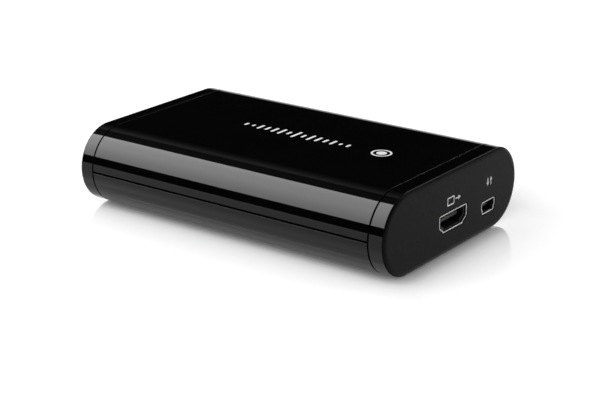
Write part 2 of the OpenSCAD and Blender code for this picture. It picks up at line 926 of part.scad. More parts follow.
// A square chip with leads on all four sides
module leaded_chip(w, leads) {
    lead_pitch = (w - 2 * lead_l) / (leads - 1);
    knee = lead_l / 2;
    difference() {
        union() {
            translate([0, 0, chip_gap])
                block(w, w, chip_t - chip_gap);
            for (turn = [0 : 90 : 270], i = [0 : leads - 1])
                rotate([0, 0, turn])
                    translate([w / 2 - lead_t, (i - (leads - 1) / 2) * lead_pitch - lead_w / 2, 0]) {
                        translate([0, 0, chip_t / 2 - lead_t])
                            cube([knee + lead_t, lead_w, lead_t]);
                        translate([knee, 0, 0])
                            cube([lead_t, lead_w, chip_t / 2]);
                        translate([knee, 0, 0])
                            cube([lead_l - knee + lead_t, lead_w, lead_t]);
                    }
        }
        first_lead_mark(w - 2 * dot_d, chip_t);
    }
}

module receiver_chip() {
    color("#1b1c1e")
    on_board(-large_chip_x, -large_chip_y)
        leaded_chip(large_chip_w, large_chip_leads);
}

module decoder_chip() {
    color("#1b1c1e")
    on_board(-large_chip_x, large_chip_y)
        leaded_chip(large_chip_w, large_chip_leads);
}

module transmitter_chip() {
    color("#1b1c1e")
    on_board(small_chip_x, 0)
        leaded_chip(small_chip_w, small_chip_leads);
}

module bus_controller_chip() {
    color("#1b1c1e")
    on_board(small_chip_x, bus_chip_y)
        difference() {
            block(bus_chip_w, bus_chip_w, flat_chip_t);
            first_lead_mark(bus_chip_w, flat_chip_t);
        }
}

module flash_chip() {
    color("#1b1c1e")
    on_board(small_chip_x, flash_y)
        difference() {
            block(flash_w, flash_l, flat_chip_t);
            first_lead_mark(flash_w, flat_chip_t);
        }
}

// A metal can with round ends on a thin flange
module crystal() {
    straight = crystal_l - crystal_w;
    flange = 0.4;
    linear_extrude(flange)
        rounded_bar(straight, crystal_w + 2 * flange);
    linear_extrude(crystal_h)
        rounded_bar(straight, crystal_w);
}

module rounded_bar(straight, w) {
    square([straight, w], center = true);
    for (side = [-1, 1])
        translate([side * straight / 2, 0])
            circle(d = w);
}

module crystals() {
    color("#b7babd")
    for (i = [row_count / 2 : row_count - 1])
        on_board(row_x(i), edge_row_y)
            rotate([0, 0, 90])
                crystal();
}

module power_inductors() {
    corner_cut = inductor_w / 6;
    foot_h = 0.4;
    half = inductor_w / 2;
    color("#3a3a3e")
    for (i = [0 : row_count / 2 - 1])
        on_board(row_x(i), -edge_row_y) {
            linear_extrude(inductor_h)
                polygon([
                    [corner_cut - half, -half], [half - corner_cut, -half], [half, corner_cut - half],
                    [half, half - corner_cut], [half - corner_cut, half], [corner_cut - half, half],
                    [-half, half - corner_cut], [-half, corner_cut - half]
                ]);
            block(inductor_w, inductor_w - 2 * corner_cut, foot_h);
        }
}

module capacitor_cans() {
    color("#c4c6c9")
    for (i = [row_count / 2 : row_count - 1])
        on_board(row_x(i), -edge_row_y)
            translate([0, 0, can_base_t])
                cylinder(h = can_h, d = can_d);
}

module capacitor_bases() {
    color("#17181a")
    for (i = [row_count / 2 : row_count - 1])
        on_board(row_x(i), -edge_row_y)
            block(can_d, can_d, can_base_t);
}

// Each regulator has a tab on one side and three leads on the other
module voltage_regulators() {
    tab_w = regulator_w / 2;
    color("#1f2022")
    for (i = [0 : row_count / 2 - 1])
        on_board(row_x(i), edge_row_y) {
            translate([0, 0, chip_gap])
                block(regulator_w, regulator_l - 2 * lead_l, regulator_t - chip_gap);
            translate([0, regulator_l / 2 - lead_l, 0])
                block(tab_w, 2 * lead_l, 2 * lead_t);
            for (lead = [-1, 0, 1])
                translate([lead * regulator_w / 3, lead_l - regulator_l / 2, 0])
                    block(2 * lead_w, 2 * lead_l, 2 * lead_t);
        }
}

module chip_capacitors() {
    color("#8a7558")
    for (side = [-1, 1], i = [0 : chip_cap_count - 1])
        on_board((i - (chip_cap_count - 1) / 2) * chip_cap_pitch, side * chip_cap_y)
            block(chip_cap_w, chip_cap_l, chip_cap_w);
}

// A row of filters behind each video socket
module video_filters() {
    color("#2b2c2f")
    for (i = [0 : filter_count - 1], place = [[filter_x, video_out_y], [-filter_x, video_in_y]])
        on_board(place[0], place[1] + (i - (filter_count - 1) / 2) * filter_pitch)
            block(filter_l, filter_w, filter_h);
}

top_shell();
bottom_shell();
output_end_cap();
input_end_cap();
rubber_feet();
case_screws();
main_board();
board_screws();
video_out_shell();
video_out_insulator();
video_out_contacts();
video_in_shell();
video_in_insulator();
video_in_contacts();
data_shell();
data_insulator();
data_contacts();
analogue_shell();
analogue_insulator();
analogue_contacts();
encoder_chip();
thermal_pad();
heat_sink();
memory_chips();
receiver_chip();
decoder_chip();
transmitter_chip();
bus_controller_chip();
flash_chip();
crystals();
power_inductors();
capacitor_cans();
capacitor_bases();
voltage_regulators();
chip_capacitors();
video_filters();
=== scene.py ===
"""Dress a flat video capture box: gloss case, metal sockets, feet, print and a white studio."""
import json
import math
from collections import namedtuple
from types import SimpleNamespace

import bmesh
import bpy
from bmesh.types import BMEdge, BMFace, BMVert
from bpy.props import FloatProperty, FloatVectorProperty, IntProperty, PointerProperty
from mathutils import Matrix, Vector


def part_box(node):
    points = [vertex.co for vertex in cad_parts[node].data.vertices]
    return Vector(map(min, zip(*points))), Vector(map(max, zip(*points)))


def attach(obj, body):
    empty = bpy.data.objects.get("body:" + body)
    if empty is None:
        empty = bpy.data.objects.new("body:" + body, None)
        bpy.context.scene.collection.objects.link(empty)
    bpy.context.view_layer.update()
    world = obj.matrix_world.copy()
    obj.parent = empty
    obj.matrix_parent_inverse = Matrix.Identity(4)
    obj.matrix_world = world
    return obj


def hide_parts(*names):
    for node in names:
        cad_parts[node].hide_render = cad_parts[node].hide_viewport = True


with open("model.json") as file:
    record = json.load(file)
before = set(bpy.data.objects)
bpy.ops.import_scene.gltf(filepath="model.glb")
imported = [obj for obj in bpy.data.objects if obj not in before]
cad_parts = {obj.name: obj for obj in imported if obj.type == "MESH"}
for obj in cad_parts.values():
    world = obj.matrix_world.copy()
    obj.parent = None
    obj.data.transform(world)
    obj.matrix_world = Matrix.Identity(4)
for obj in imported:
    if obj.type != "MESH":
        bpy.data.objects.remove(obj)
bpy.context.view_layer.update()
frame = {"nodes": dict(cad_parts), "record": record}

bl_info = {
    "name": "Video Capture Box",
    "version": (1, 0, 0),
    "blender": (4, 5, 0),
    "location": "View3D > Sidebar > Capture Box",
    "description": "Builds the case, sockets, print and studio of a video capture box around its solids",
    "category": "Object",
}

# Meshes are drawn in millimetres and scaled to metres when they are done
MM = 0.001
# Two places closer than this are one place, in millimetres
NEAR = 0.001
# Degrees that one step of a drawn arc turns
ARC_STEP = 2.0
# Steps of a rounded corner, and the largest share of a side that it may take
CORNER_STEPS = 4
CORNER_SHARE = 0.45
# Faces that meet at more than this many degrees meet in a sharp edge
SHARP = 35.0
# The one body, which every piece rides on
BODY = "root"


def extent(node, axis):
    """Lowest and highest place of a solid along one axis, in millimetres."""
    low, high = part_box(node)
    index = "XYZ".index(axis)
    return low[index] / MM, high[index] / MM


def corners(node, width):
    """Places of four like solids, from the box round them all and the width of one."""
    x, y = (extent(node, axis)[1] - width / 2 for axis in "XY")
    return [(side_x * x, side_y * y) for side_x in (-1, 1) for side_y in (-1, 1)]


# The case along X: a cap's inner end, its face and a shell's end
SPIGOT_X, FACE_X = extent("output_end_cap", "X")
SHELL_X = extent("top_shell", "X")[1]
# Its section: underside, top, the round sides' radius and middle, and half the flat between them
UNDER, TOP = extent("output_end_cap", "Z")
SIDE_R = (TOP - UNDER) / 2
MID = (TOP + UNDER) / 2
FLAT = extent("output_end_cap", "Y")[1] - SIDE_R

FOOT_TOP = extent("rubber_feet", "Z")[1]
SCREW_TIP = extent("case_screws", "Z")[1]
BOARD_SCREW_TIP = extent("board_screws", "Z")[0]
BOARD_UNDER = extent("main_board", "Z")[0]

# Drawn flat in X and Y and pulled along Z, a piece seen end on turns to lie along the case
END_ON = Matrix(((0, 0, 1, 0), (1, 0, 0, 0), (0, 1, 0, 0), (0, 0, 0, 1)))
HALF_TURN = Matrix.Rotation(math.pi, 4, "Z")
AS_DRAWN = Matrix.Identity(4)

# A socket: its end of the case, 1 or -1, and in millimetres its mouth and rim, how far the lower corners
# step in, between which heights they slope, and where its springs lie across the mouth
Socket = namedtuple("Socket", "end mouth_w mouth_h rim_w rim_h cut cut_top cut_foot springs")
VIDEO = (14.0, 4.6, 16.7, 6.2, 2.3, 2.0, 0.5, (-3.6, 3.6))
SOCKETS = {
    "video_out_shell": Socket(1, *VIDEO),
    "data_shell": Socket(1, 6.9, 3.1, 8.7, 4.4, 0.6, 1.9, 1.3, (-1.8, 1.8)),
    "video_in_shell": Socket(-1, *VIDEO),
    "analogue_shell": Socket(-1, 18.0, 5.0, 20.4, 6.6, 1.6, 3.0, 1.4, (-5.4, 0.0, 5.4)),
}


def length(name, description, default):
    """A length that a user may change, given in millimetres and kept in metres."""
    return FloatProperty(name=name, description=description, default=default * MM, min=0, unit="LENGTH",
                         precision=5)


def colour(name, description, default):
    """A colour that a user may change."""
    return FloatVectorProperty(name=name, description=description, default=default, size=3, min=0, max=1,
                               subtype="COLOR")


def angle(name, description, default):
    """An angle that a user may change, given in degrees."""
    return FloatProperty(name=name, description=description, default=math.radians(default), subtype="ANGLE")


def brightness(name, description, default):
    """A brightness that a user may change."""
    return FloatProperty(name=name, description=description, default=default, min=0)


class CAPTUREBOX_PG_case(bpy.types.PropertyGroup):
    """Sizes of the case's mouldings."""
    wall: length("Wall", "Thickness of the shells", 2.0)
    seam_gap: length("Cap seam", "Width of the groove between the shells and a cap", 0.55)
    seam_round: length("Cap seam rounding", "Rounding of the edges along that groove", 0.05)
    parting_gap: length("Long seam", "Width of the groove between the shells", 0.75)
    parting_round: length("Long seam rounding", "Rounding of the edges along that groove", 0.08)
    lip_height: length("Lip height", "Height of the lip inside the long seams", 1.5)
    lip_play: length("Lip play", "Play round that lip", 0.1)
    cap_round: length("Cap rounding", "Depth of the rounding at an end cap's outer edge", 0.75)
    cap_soft: length("Cap softness", "Width of that rounding across the cap's face", 1.8)
    face_wall: length("Face wall", "Thickness of an end cap's face", 2.0)
    spigot_radius: length("Spigot radius", "Side radius of the stretch of a cap inside the shells", 11.4)
    spigot_wall: length("Spigot wall", "Wall of that stretch", 1.4)
    panel_length: length("Panel length", "Length of the sunk panel under the case", 50.0)
    panel_width: length("Panel width", "Width of the sunk panel under the case", 24.0)
    panel_depth: length("Panel depth", "Depth of the sunk panel under the case", 0.3)
    panel_corner: length("Panel corner", "Corner radius of that panel", 1.2)
    foot_width: length("Foot width", "Width of a foot", 9.6)
    foot_round: length("Foot rounding", "Rounding of a foot's lower edge", 0.4)
    foot_play: length("Foot play", "Room round a foot in its pocket", 0.1)
    rib_pitch: length("Rib pitch", "Distance between the ribs under the top", 40.0)
    rib_width: length("Rib width", "Width of a rib", 1.2)
    rib_height: length("Rib height", "Height of a rib", 2.0)
    tower_width: length("Tower width", "Width of the towers round the case screws", 8.0)
    well_width: length("Well width", "Width of the wells for the case screws' heads", 5.6)
    screw_seat: length("Screw seat", "Height of a case screw's seat above the underside", 5.0)
    screw_hole: length("Screw hole", "Width of the holes for the case screws", 3.0)
    boss_width: length("Boss width", "Width of the bosses that the case screws hold in", 7.0)
    thread_hole: length("Thread hole", "Width of the threaded holes in bosses and posts", 2.7)
    tip_room: length("Tip room", "Room past a screw's tip", 0.5)
    post_width: length("Post width", "Width of the posts under the board", 5.6)
    board_screw_head: length("Board screw head", "Width of a board screw's head", 4.6)


class CAPTUREBOX_PG_sockets(bpy.types.PropertyGroup):
    """Sizes that all the sockets share."""
    rim: length("Rim width", "Width of the bright rim round a mouth", 0.38)
    rim_depth: length("Rim depth", "Depth of the rim, and again of the shelf behind it", 0.6)
    rim_gap: length("Rim gap", "Room between a rim and its cap", 0.22)
    sheet: length("Sheet", "Thickness of the sheet metal", 0.4)
    corner: length("Corner radius", "Radius of the bends at a rim's corners", 0.8)
    edge: length("Edge rounding", "Rounding of a rim's front edges", 0.1)
    leg: length("Leg width", "Width of a soldered leg", 1.2)
    leg_step: length("Leg step", "Distance of the front legs behind a rim", 4.65)
    spring: length("Spring width", "Width of a contact spring in a mouth's upper wall", 1.6)
    spring_reach: length("Spring reach", "How far a contact spring bends into the mouth", 0.35)


class CAPTUREBOX_PG_print(bpy.types.PropertyGroup):
    """Sizes and places of the printed marks."""
    ink: length("Ink", "Thickness of the print", 0.03)
    line: length("Line", "Width of a printed line", 0.42)
    bars: IntProperty(name="Bars", description="Bars in the level motif on the top", default=15, min=3)
    bar_pitch: length("Bar pitch", "Distance between those bars", 3.0)
    bar_width: length("Bar width", "Width of each bar", 1.0)
    bar_height: length("Bar height", "Height of the tallest bar", 6.4)
    dot_place: length("Dot place", "Distance of the ring and dot from the middle of the top", 34.0)
    dot_width: length("Dot width", "Width of the ring round the dot", 7.0)
    sign_height: length("Sign height", "Height of the signs over the sockets", 2.8)
    sign_place: length("Sign place", "Height of the signs' middle over the floor", 17.6)


class CAPTUREBOX_PG_colours(bpy.types.PropertyGroup):
    """Colours of the finishes that show."""
    gloss: colour("Gloss black", "Polished shells and cap bands", (0.0012, 0.0012, 0.0013))
    matt: colour("Matt black", "Fine texture on the end faces", (0.004, 0.004, 0.0041))
    nickel: colour("Nickel", "Plated rims, legs and springs of the sockets", (0.52, 0.52, 0.53))
    # The sockets' walls behind their rims are the same nickel made near-black: painted shade inside the
    # mouths
    painted_socket_shade: colour("Painted socket shade", "Walls of the sockets behind their rims", (0.012, 0.012, 0.0125))
    rubber: colour("Rubber", "Feet", (0.022, 0.022, 0.022))
    ink: colour("Ink", "Printed marks", (0.72, 0.72, 0.73))
    floor: colour("Floor", "Studio floor", (0.8, 0.8, 0.8))


class CAPTUREBOX_PG_studio(bpy.types.PropertyGroup):
    """The camera and the lamps."""
    azimuth: angle("Azimuth", "Camera's direction round the box", 36.33)
    elevation: angle("Elevation", "Camera's direction above the floor", 19.555)
    distance: length("Distance", "Camera's distance from its target", 524.9)
    target_height: length("Target height", "Height of the camera's target over the floor", 15.5)
    pan_right: length("Pan right", "Camera's step to the right", 1.178)
    pan_down: length("Pan down", "Camera's step down", 10.48)
    lens: FloatProperty(name="Lens", description="Focal length on a 36 mm wide sensor", default=93.73,
                        min=1, subtype="DISTANCE_CAMERA")
    strip: brightness("Strip light", "Brightness of the long soft box", 9.5)
    rear: brightness("Rear strip", "Brightness of the soft strip behind", 5.0)
    overhead: brightness("Overhead light", "Brightness of the soft box above", 0.6)
    front: brightness("Front card", "Brightness of the card in front that lights the floor", 2.5)
    card: brightness("White cards", "Brightness of the cards round the floor that light it", 1.0)
    glow: brightness("Floor white", "How far the floor is lifted to white", 0.3)
    mirror_reach: length("Mirror reach", "How far round the box the floor mirrors it", 30.0)


def in_mm(group):
    """A group's lengths in millimetres, by name."""
    known = group.bl_rna.properties
    return SimpleNamespace(**{name: getattr(group, name) / MM for name in known.keys()
                              if getattr(known[name], "unit", "") == "LENGTH"})


def only(kind, geometry):
    """The parts of one kind among some geometry."""
    return [part for part in geometry if isinstance(part, kind)]


def rectangle(x, y, w, h):
    """The corners of a rectangle about a place, anticlockwise."""
    left, right, low, high = x - w / 2, x + w / 2, y - h / 2, y + h / 2
    return [(left, low), (right, low), (right, high), (left, high)]


def draw(bm, start, strokes):
    """Draw a closed outline in X and Y and fill it.

    A stroke of two numbers is a corner to run straight to. One of three is an arc: its centre and turn.
    """
    drawn = set(bm.edges)
    first = pen = bm.verts.new((*start, 0))
    for stroke in strokes:
        if len(stroke) == 2:
            corner = bm.verts.new((*stroke, 0))
            bm.edges.new((pen, corner))
            pen = corner
        else:
            x, y, turn = stroke
            arc = bmesh.ops.spin(bm, geom=[pen], cent=(x, y, 0), axis=(0, 0, 1), angle=math.radians(turn),
                                 steps=math.ceil(abs(turn) / ARC_STEP))
            pen = only(BMVert, arc["geom_last"])[0]
    bm.edges.new((pen, first))
    return bmesh.ops.edgeloop_fill(bm, edges=[e for e in bm.edges if e not in drawn])["faces"]


def outline(bm, points, z, corner=0.0):
    """Lay a closed line of edges through points at one height, its corners rounded where there is room."""
    edges, faces = set(bm.edges), set(bm.faces)
    verts = [bm.verts.new((x, y, z)) for x, y in points]
    bm.faces.new(verts)
    room = [CORNER_SHARE * min(e.calc_length() for e in v.link_edges) for v in verts]
    for vert, most in zip(verts, room):
        if corner:
            bmesh.ops.bevel(bm, geom=[vert], offset=min(corner, most), offset_type="OFFSET",
                            segments=CORNER_STEPS, profile=0.5, affect="VERTICES", material=-1)
    bmesh.ops.delete(bm, geom=[f for f in bm.faces if f not in faces], context="FACES_ONLY")
    return [e for e in bm.edges if e not in edges]


def pull(bm, faces, distance):
    """Extrude faces along Z and return the moved ones."""
    made = bmesh.ops.extrude_face_region(bm, geom=faces)["geom"]
    bmesh.ops.translate(bm, verts=only(BMVert, made), vec=(0, 0, distance))
    return only(BMFace, made)


def run_on(bm, edges, distance):
    """Extrude a closed line of edges along Z and return the moved ones."""
    made = bmesh.ops.extrude_edge_only(bm, edges=edges)["geom"]
    bmesh.ops.translate(bm, verts=only(BMVert, made), vec=(0, 0, distance))
    return only(BMEdge, made)


def sink(bm, edges, distance):
    """Extrude a closed line of edges along Z and close its far end."""
    bmesh.ops.edgeloop_fill(bm, edges=run_on(bm, edges, distance))


def soften(bm, edges, radius, steps=3):
    """Round edges off."""
    bmesh.ops.bevel(bm, geom=edges, offset=radius, offset_type="OFFSET", segments=steps, profile=0.5,
                    affect="EDGES", material=-1, clamp_overlap=False)


def face_at(bm, height):
    """The largest face that lies flat at one height."""
    flat = [f for f in bm.faces if all(abs(v.co.z - height) < NEAR for v in f.verts)]
    return max(flat, key=lambda face: face.calc_area())


def pierce(bm, face, holes):
    """Fill a flat face again with holes left open in it."""
    rim = face.edges[:]
    bmesh.ops.delete(bm, geom=[face], context="FACES_ONLY")
    bmesh.ops.triangle_fill(bm, edges=rim + [e for hole in holes for e in hole], use_beauty=True)


def turned(bm, profile, x, y, steps=48):
    """Turn a line of radii and heights about an upright axis and return its open round edges by height."""
    drawn = set(bm.edges)
    verts = [bm.verts.new((x + radius, y, z)) for radius, z in profile]
    edges = [bm.edges.new(pair) for pair in zip(verts, verts[1:])]
    bmesh.ops.spin(bm, geom=verts + edges, cent=(x, y, 0), axis=(0, 0, 1), angle=2 * math.pi, steps=steps,
                   use_merge=True)
    rings = {}
    for edge in bm.edges:
        if edge not in drawn and edge.is_boundary and edge.calc_length() > NEAR:
            rings.setdefault(round(edge.verts[0].co.z, 2), []).append(edge)
    return rings


def spine_radius(point):
    """Distance of a point, seen end on, from the flat strip that the round sides are drawn about."""
    return math.hypot(max(abs(point.x) - FLAT, 0), point.y - MID)


def end_rim(bm, place):
    """The outer edges of the case's section at one place along it."""
    return [e for e in bm.edges if all(
        abs(v.co.z - place) < NEAR and abs(spine_radius(v.co) - SIDE_R) < NEAR for v in e.verts)]


def piece(bm, name, place, finishes, stands_for=None):
    """Close a drawn mesh, put it in its place in metres and let it ride on the box."""
    bmesh.ops.remove_doubles(bm, verts=bm.verts, dist=NEAR / 10)
    bmesh.ops.recalc_face_normals(bm, faces=bm.faces)
    bmesh.ops.transform(bm, matrix=Matrix.Scale(MM, 4) @ place, verts=bm.verts)
    mesh = bpy.data.meshes.new(name)
    bm.to_mesh(mesh)
    bm.free()
    mesh.polygons.foreach_set("use_smooth", [True] * len(mesh.polygons))
    mesh.set_sharp_from_angle(angle=math.radians(SHARP))
    for finish_name in finishes:
        mesh.materials.append(finish(finish_name))
    made = bpy.data.objects.new(name, mesh)
    bpy.context.scene.collection.objects.link(made)
    even = made.modifiers.new("Even shading", "WEIGHTED_NORMAL")
    even.keep_sharp = True
    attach(made, BODY)
    if stands_for:
        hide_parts(stands_for)


def add(tree, kind, inputs=None, **settings):
    """Add a node with its settings, and set or link its inputs."""
    made = tree.nodes.new("ShaderNode" + kind)
    for name, value in settings.items():
        setattr(made, name, value)
    for name, value in (inputs or {}).items():
        if isinstance(value, bpy.types.NodeSocket):
            tree.links.new(value, made.inputs[name])
        else:
            made.inputs[name].default_value = value
    return made


def new_finish(name):
    """An empty material and its node tree."""
    made = bpy.data.materials.new(name)
    made.use_nodes = True
    made.node_tree.nodes.clear()
    return made, made.node_tree


def surfaced(made, shader):
    """A material with a shader on its surface."""
    add(made.node_tree, "OutputMaterial", {"Surface": shader.outputs[0]})
    return made


def object_place(tree, stretch=(1, 1, 1)):
    """A piece's own coordinates, stretched."""
    own = add(tree, "TexCoord").outputs["Object"]
    return add(tree, "Mapping", {"Vector": own, "Scale": stretch}).outputs["Vector"]


# Soft noise keeps mostly between these values
NOISE_LOW, NOISE_HIGH = 0.35, 0.65
# A raised edge bends the surface by more than the first value, and wears fully at the second
EDGE_LOW, EDGE_HIGH = 0.52, 0.62


def noise(tree, place, size, detail=3.0):
    """Soft noise whose patches are about one size across, in millimetres."""
    return add(tree, "TexNoise", {"Vector": place, "Scale": 1 / (size * MM),
                                  "Detail": detail}).outputs["Fac"]


def between(tree, value, low, high, start=NOISE_LOW, stop=NOISE_HIGH, ease="LINEAR"):
    """Spread a value's change from start to stop over a change from low to high."""
    return add(tree, "MapRange", {"Value": value, "From Min": start, "From Max": stop, "To Min": low,
                                  "To Max": high}, interpolation_type=ease).outputs["Result"]


def calc(tree, operation, *values):
    """The outcome of one operation on values."""
    return add(tree, "Math", dict(enumerate(values)), operation=operation).outputs[0]


def relief(tree, height, depth, strength=1.0):
    """The shading of a fine relief from a pattern, its depth in millimetres."""
    return add(tree, "Bump", {"Strength": strength, "Distance": depth * MM,
                              "Height": height}).outputs["Normal"]


def tint(tree, value, dark, light):
    """Turn a pattern into a change from one colour to another."""
    ramp = add(tree, "ValToRGB", {"Fac": value})
    for mark, place, tone in zip(ramp.color_ramp.elements, (NOISE_LOW, NOISE_HIGH), (dark, light)):
        mark.position = place
        mark.color = (*tone, 1)
    return ramp.outputs["Color"]


def levels(tree, value, stops):
    """Turn a value into brightness by stops of place and level."""
    ramp = add(tree, "ValToRGB", {"Fac": value})
    marks = ramp.color_ramp.elements
    marks[0].position, marks[1].position = stops[0][0], stops[-1][0]
    for place, level in stops[1:-1]:
        marks.new(place)
    for mark, (place, level) in zip(marks, stops):
        mark.color = (level, level, level, 1)
    return ramp.outputs["Color"]


def shade_of(tone, share):
    """A colour made lighter or darker."""
    return tuple(min(1, part * share) for part in tone)


def worn_edges(tree, amount):
    """A value that rises along raised edges, where handling dulls a piece."""
    bent = add(tree, "NewGeometry").outputs["Pointiness"]
    return between(tree, bent, 0, amount, EDGE_LOW, EDGE_HIGH)


def grained(name, tone, rough, grain, depth, metal=0.0, patch=12.0, spread=0.25, stretch=(1, 1, 1),
            wear=0.08, shine=0.5):
    """A finish with fine grain, slow changes of tone and gloss, and duller edges."""
    made, tree = new_finish(name)
    fine = noise(tree, object_place(tree, stretch), grain, 4.0)
    slow = noise(tree, object_place(tree), patch)
    haze = between(tree, slow, rough * (1 - spread), rough * (1 + spread))
    return surfaced(made, add(tree, "BsdfPrincipled", {
        "Base Color": tint(tree, slow, shade_of(tone, 1 - spread / 2), shade_of(tone, 1 + spread / 2)),
        "Roughness": calc(tree, "ADD", haze, worn_edges(tree, wear)),
        "Metallic": metal,
        "Normal": relief(tree, fine, depth),
        "Specular IOR Level": shine,
    }))


def gloss_black(tone):
    """Polished moulding: faint flow waves, wiped-over haze and a few hairlines, all only in its gloss."""
    made, tree = new_finish("gloss_black")
    own = object_place(tree)
    waves = noise(tree, own, 6.0, 1.0)
    haze = between(tree, noise(tree, own, 18.0), 0.03, 0.055)
    hairs = between(tree, noise(tree, object_place(tree, (1, 30, 30)), 9.0, 2.0), 0, 0.05, 0.66, 0.72)
    return surfaced(made, add(tree, "BsdfPrincipled", {
        "Base Color": tint(tree, noise(tree, own, 25.0), shade_of(tone, 0.85), shade_of(tone, 1.15)),
        "Roughness": calc(tree, "ADD", calc(tree, "ADD", haze, hairs), worn_edges(tree, 0.04)),
        "IOR": 1.3,
        "Normal": relief(tree, waves, 0.0006),
    }))


def board_green(tone):
    """Solder mask over copper: paler tracks in a grid, bare round pads and glass weave."""
    made, tree = new_finish("board_laminate")
    own = object_place(tree)
    tracks = add(tree, "TexBrick", {"Vector": own, "Scale": 260.0, "Mortar Size": 0.035,
                                    "Mortar Smooth": 0.1, "Mortar": (*shade_of(tone, 1.7), 1),
                                    "Color1": (*tone, 1), "Color2": (*shade_of(tone, 0.86), 1)})
    cells = add(tree, "TexVoronoi", {"Vector": own, "Scale": 230.0}).outputs["Distance"]
    pads = between(tree, cells, 1, 0, 0.1, 0.13)
    weave = noise(tree, object_place(tree, (1, 4, 1)), 0.4)
    mask = add(tree, "BsdfPrincipled", {"Base Color": tracks.outputs["Color"],
                                        "Normal": relief(tree, weave, 0.02, 0.6),
                                        "Roughness": between(tree, weave, 0.3, 0.45)})
    tinned = add(tree, "BsdfPrincipled", {"Base Color": (0.75, 0.7, 0.55, 1), "Metallic": 1.0,
                                          "Roughness": between(tree, weave, 0.25, 0.4)})
    return surfaced(made, add(tree, "MixShader", {0: pads, 1: mask.outputs[0], 2: tinned.outputs[0]}))


# Grain of the finishes: roughness, size and depth of grain in millimetres, and what else differs
GRAIN = {
    "matt_face": (0.28, 0.22, 0.01, {"patch": 9.0, "spread": 0.12, "wear": 0.0, "shine": 0.036}),
    "bright_nickel": (0.38, 0.08, 0.0015, {"patch": 3.0, "metal": 1.0, "stretch": (0.1, 1, 1),
                                           "wear": 0.1}),
    # Near-black copy of the nickel on the sockets' walls behind their rims: painted shade
    "dark_plating": (0.45, 0.1, 0.003, {"patch": 3.0, "stretch": (0.1, 1, 1), "wear": 0.0, "shine": 0.2}),
    "foot_black": (0.8, 0.25, 0.03, {"patch": 4.0}),
    "pale_ink": (0.5, 0.06, 0.002, {"patch": 1.5, "spread": 0.1, "wear": 0.0}),
    "screw_steel": (0.32, 0.15, 0.004, {"metal": 1.0, "stretch": (1, 1, 6)}),
    "insulator_black": (0.5, 0.12, 0.008, {}),
    "contact_gold": (0.22, 0.1, 0.002, {"metal": 1.0, "stretch": (0.2, 1, 1)}),
    "chip_black": (0.55, 0.1, 0.012, {}),
    "pad_soft": (0.75, 0.5, 0.03, {}),
    "sink_aluminium": (0.38, 0.1, 0.006, {"metal": 1.0, "stretch": (0.05, 1, 1)}),
    "crystal_steel": (0.28, 0.2, 0.004, {"metal": 1.0, "stretch": (1, 1, 0.2)}),
    "ferrite_grey": (0.7, 0.2, 0.03, {}),
    "base_black": (0.55, 0.15, 0.01, {}),
    "ceramic_tan": (0.45, 0.15, 0.008, {}),
}
# The colour settings of finishes on pieces that show. The others take their slot's colour in the record
TONES = {"matt_face": "matt", "bright_nickel": "nickel", "dark_plating": "painted_socket_shade", "foot_black": "rubber",
         "pale_ink": "ink"}
# Case mouldings are polished, and matt on the end faces, in the seams and on the shells' inner sides
CASE_FINISHES = ("gloss_black", "matt_face")


def finish(name):
    """A finish by its name, made when it is first asked for."""
    known = bpy.data.materials.get(name + "_finish")
    if known:
        return known
    tones = bpy.context.scene.capture_box_colours
    if name == "gloss_black":
        made = gloss_black(tones.gloss)
    elif name == "board_laminate":
        made = board_green(recorded_tone(name))
    else:
        rough, grain, depth, rest = GRAIN[name]
        tone = getattr(tones, TONES[name]) if name in TONES else recorded_tone(name)
        made = grained(name, tone, rough, grain, depth, **rest)
    made.name = name + "_finish"
    return made


def recorded_tone(slot):
    """The colour that the record gives a material slot."""
    return next(m["base_color"][:3] for m in frame["record"]["materials"] if m["slot"] == slot)


def rise(radius, height):
    """Degrees at which a circle about the middle height reaches some height above it."""
    return math.degrees(math.asin(height / radius))


def reach(radius, height):
    """How far across that place lies."""
    return FLAT + math.sqrt(radius ** 2 - height ** 2)


def pulled_shell(bm, case):
    """Mirror half a shell's section, pull it along the case, round its seams' edges and lay it along X."""
    bmesh.ops.mirror(bm, geom=bm.verts[:] + bm.edges[:] + bm.faces[:], axis="X", merge_dist=NEAR)
    middle = [e for e in bm.edges if all(abs(v.co.x) < NEAR for v in e.verts)]
    bmesh.ops.dissolve_edges(bm, edges=middle, use_verts=True)
    bmesh.ops.translate(bm, verts=bm.verts, vec=(0, 0, -SHELL_X))
    pull(bm, bm.faces[:], 2 * SHELL_X)
    seam = [e for e in bm.edges if abs(e.verts[0].co.z - e.verts[1].co.z) > SHELL_X
            and abs(spine_radius(e.verts[0].co) - SIDE_R) < NEAR
            and abs(abs(e.verts[0].co.y - MID) - case.parting_gap / 2) < NEAR]
    soften(bm, seam, case.parting_round)
    soften(bm, end_rim(bm, SHELL_X) + end_rim(bm, -SHELL_X), case.seam_round)
    skin = SIDE_R - case.parting_round + NEAR
    for face in bm.faces:
        face.material_index = int(all(spine_radius(v.co) < skin for v in face.verts))
    bmesh.ops.transform(bm, matrix=END_ON, verts=bm.verts)


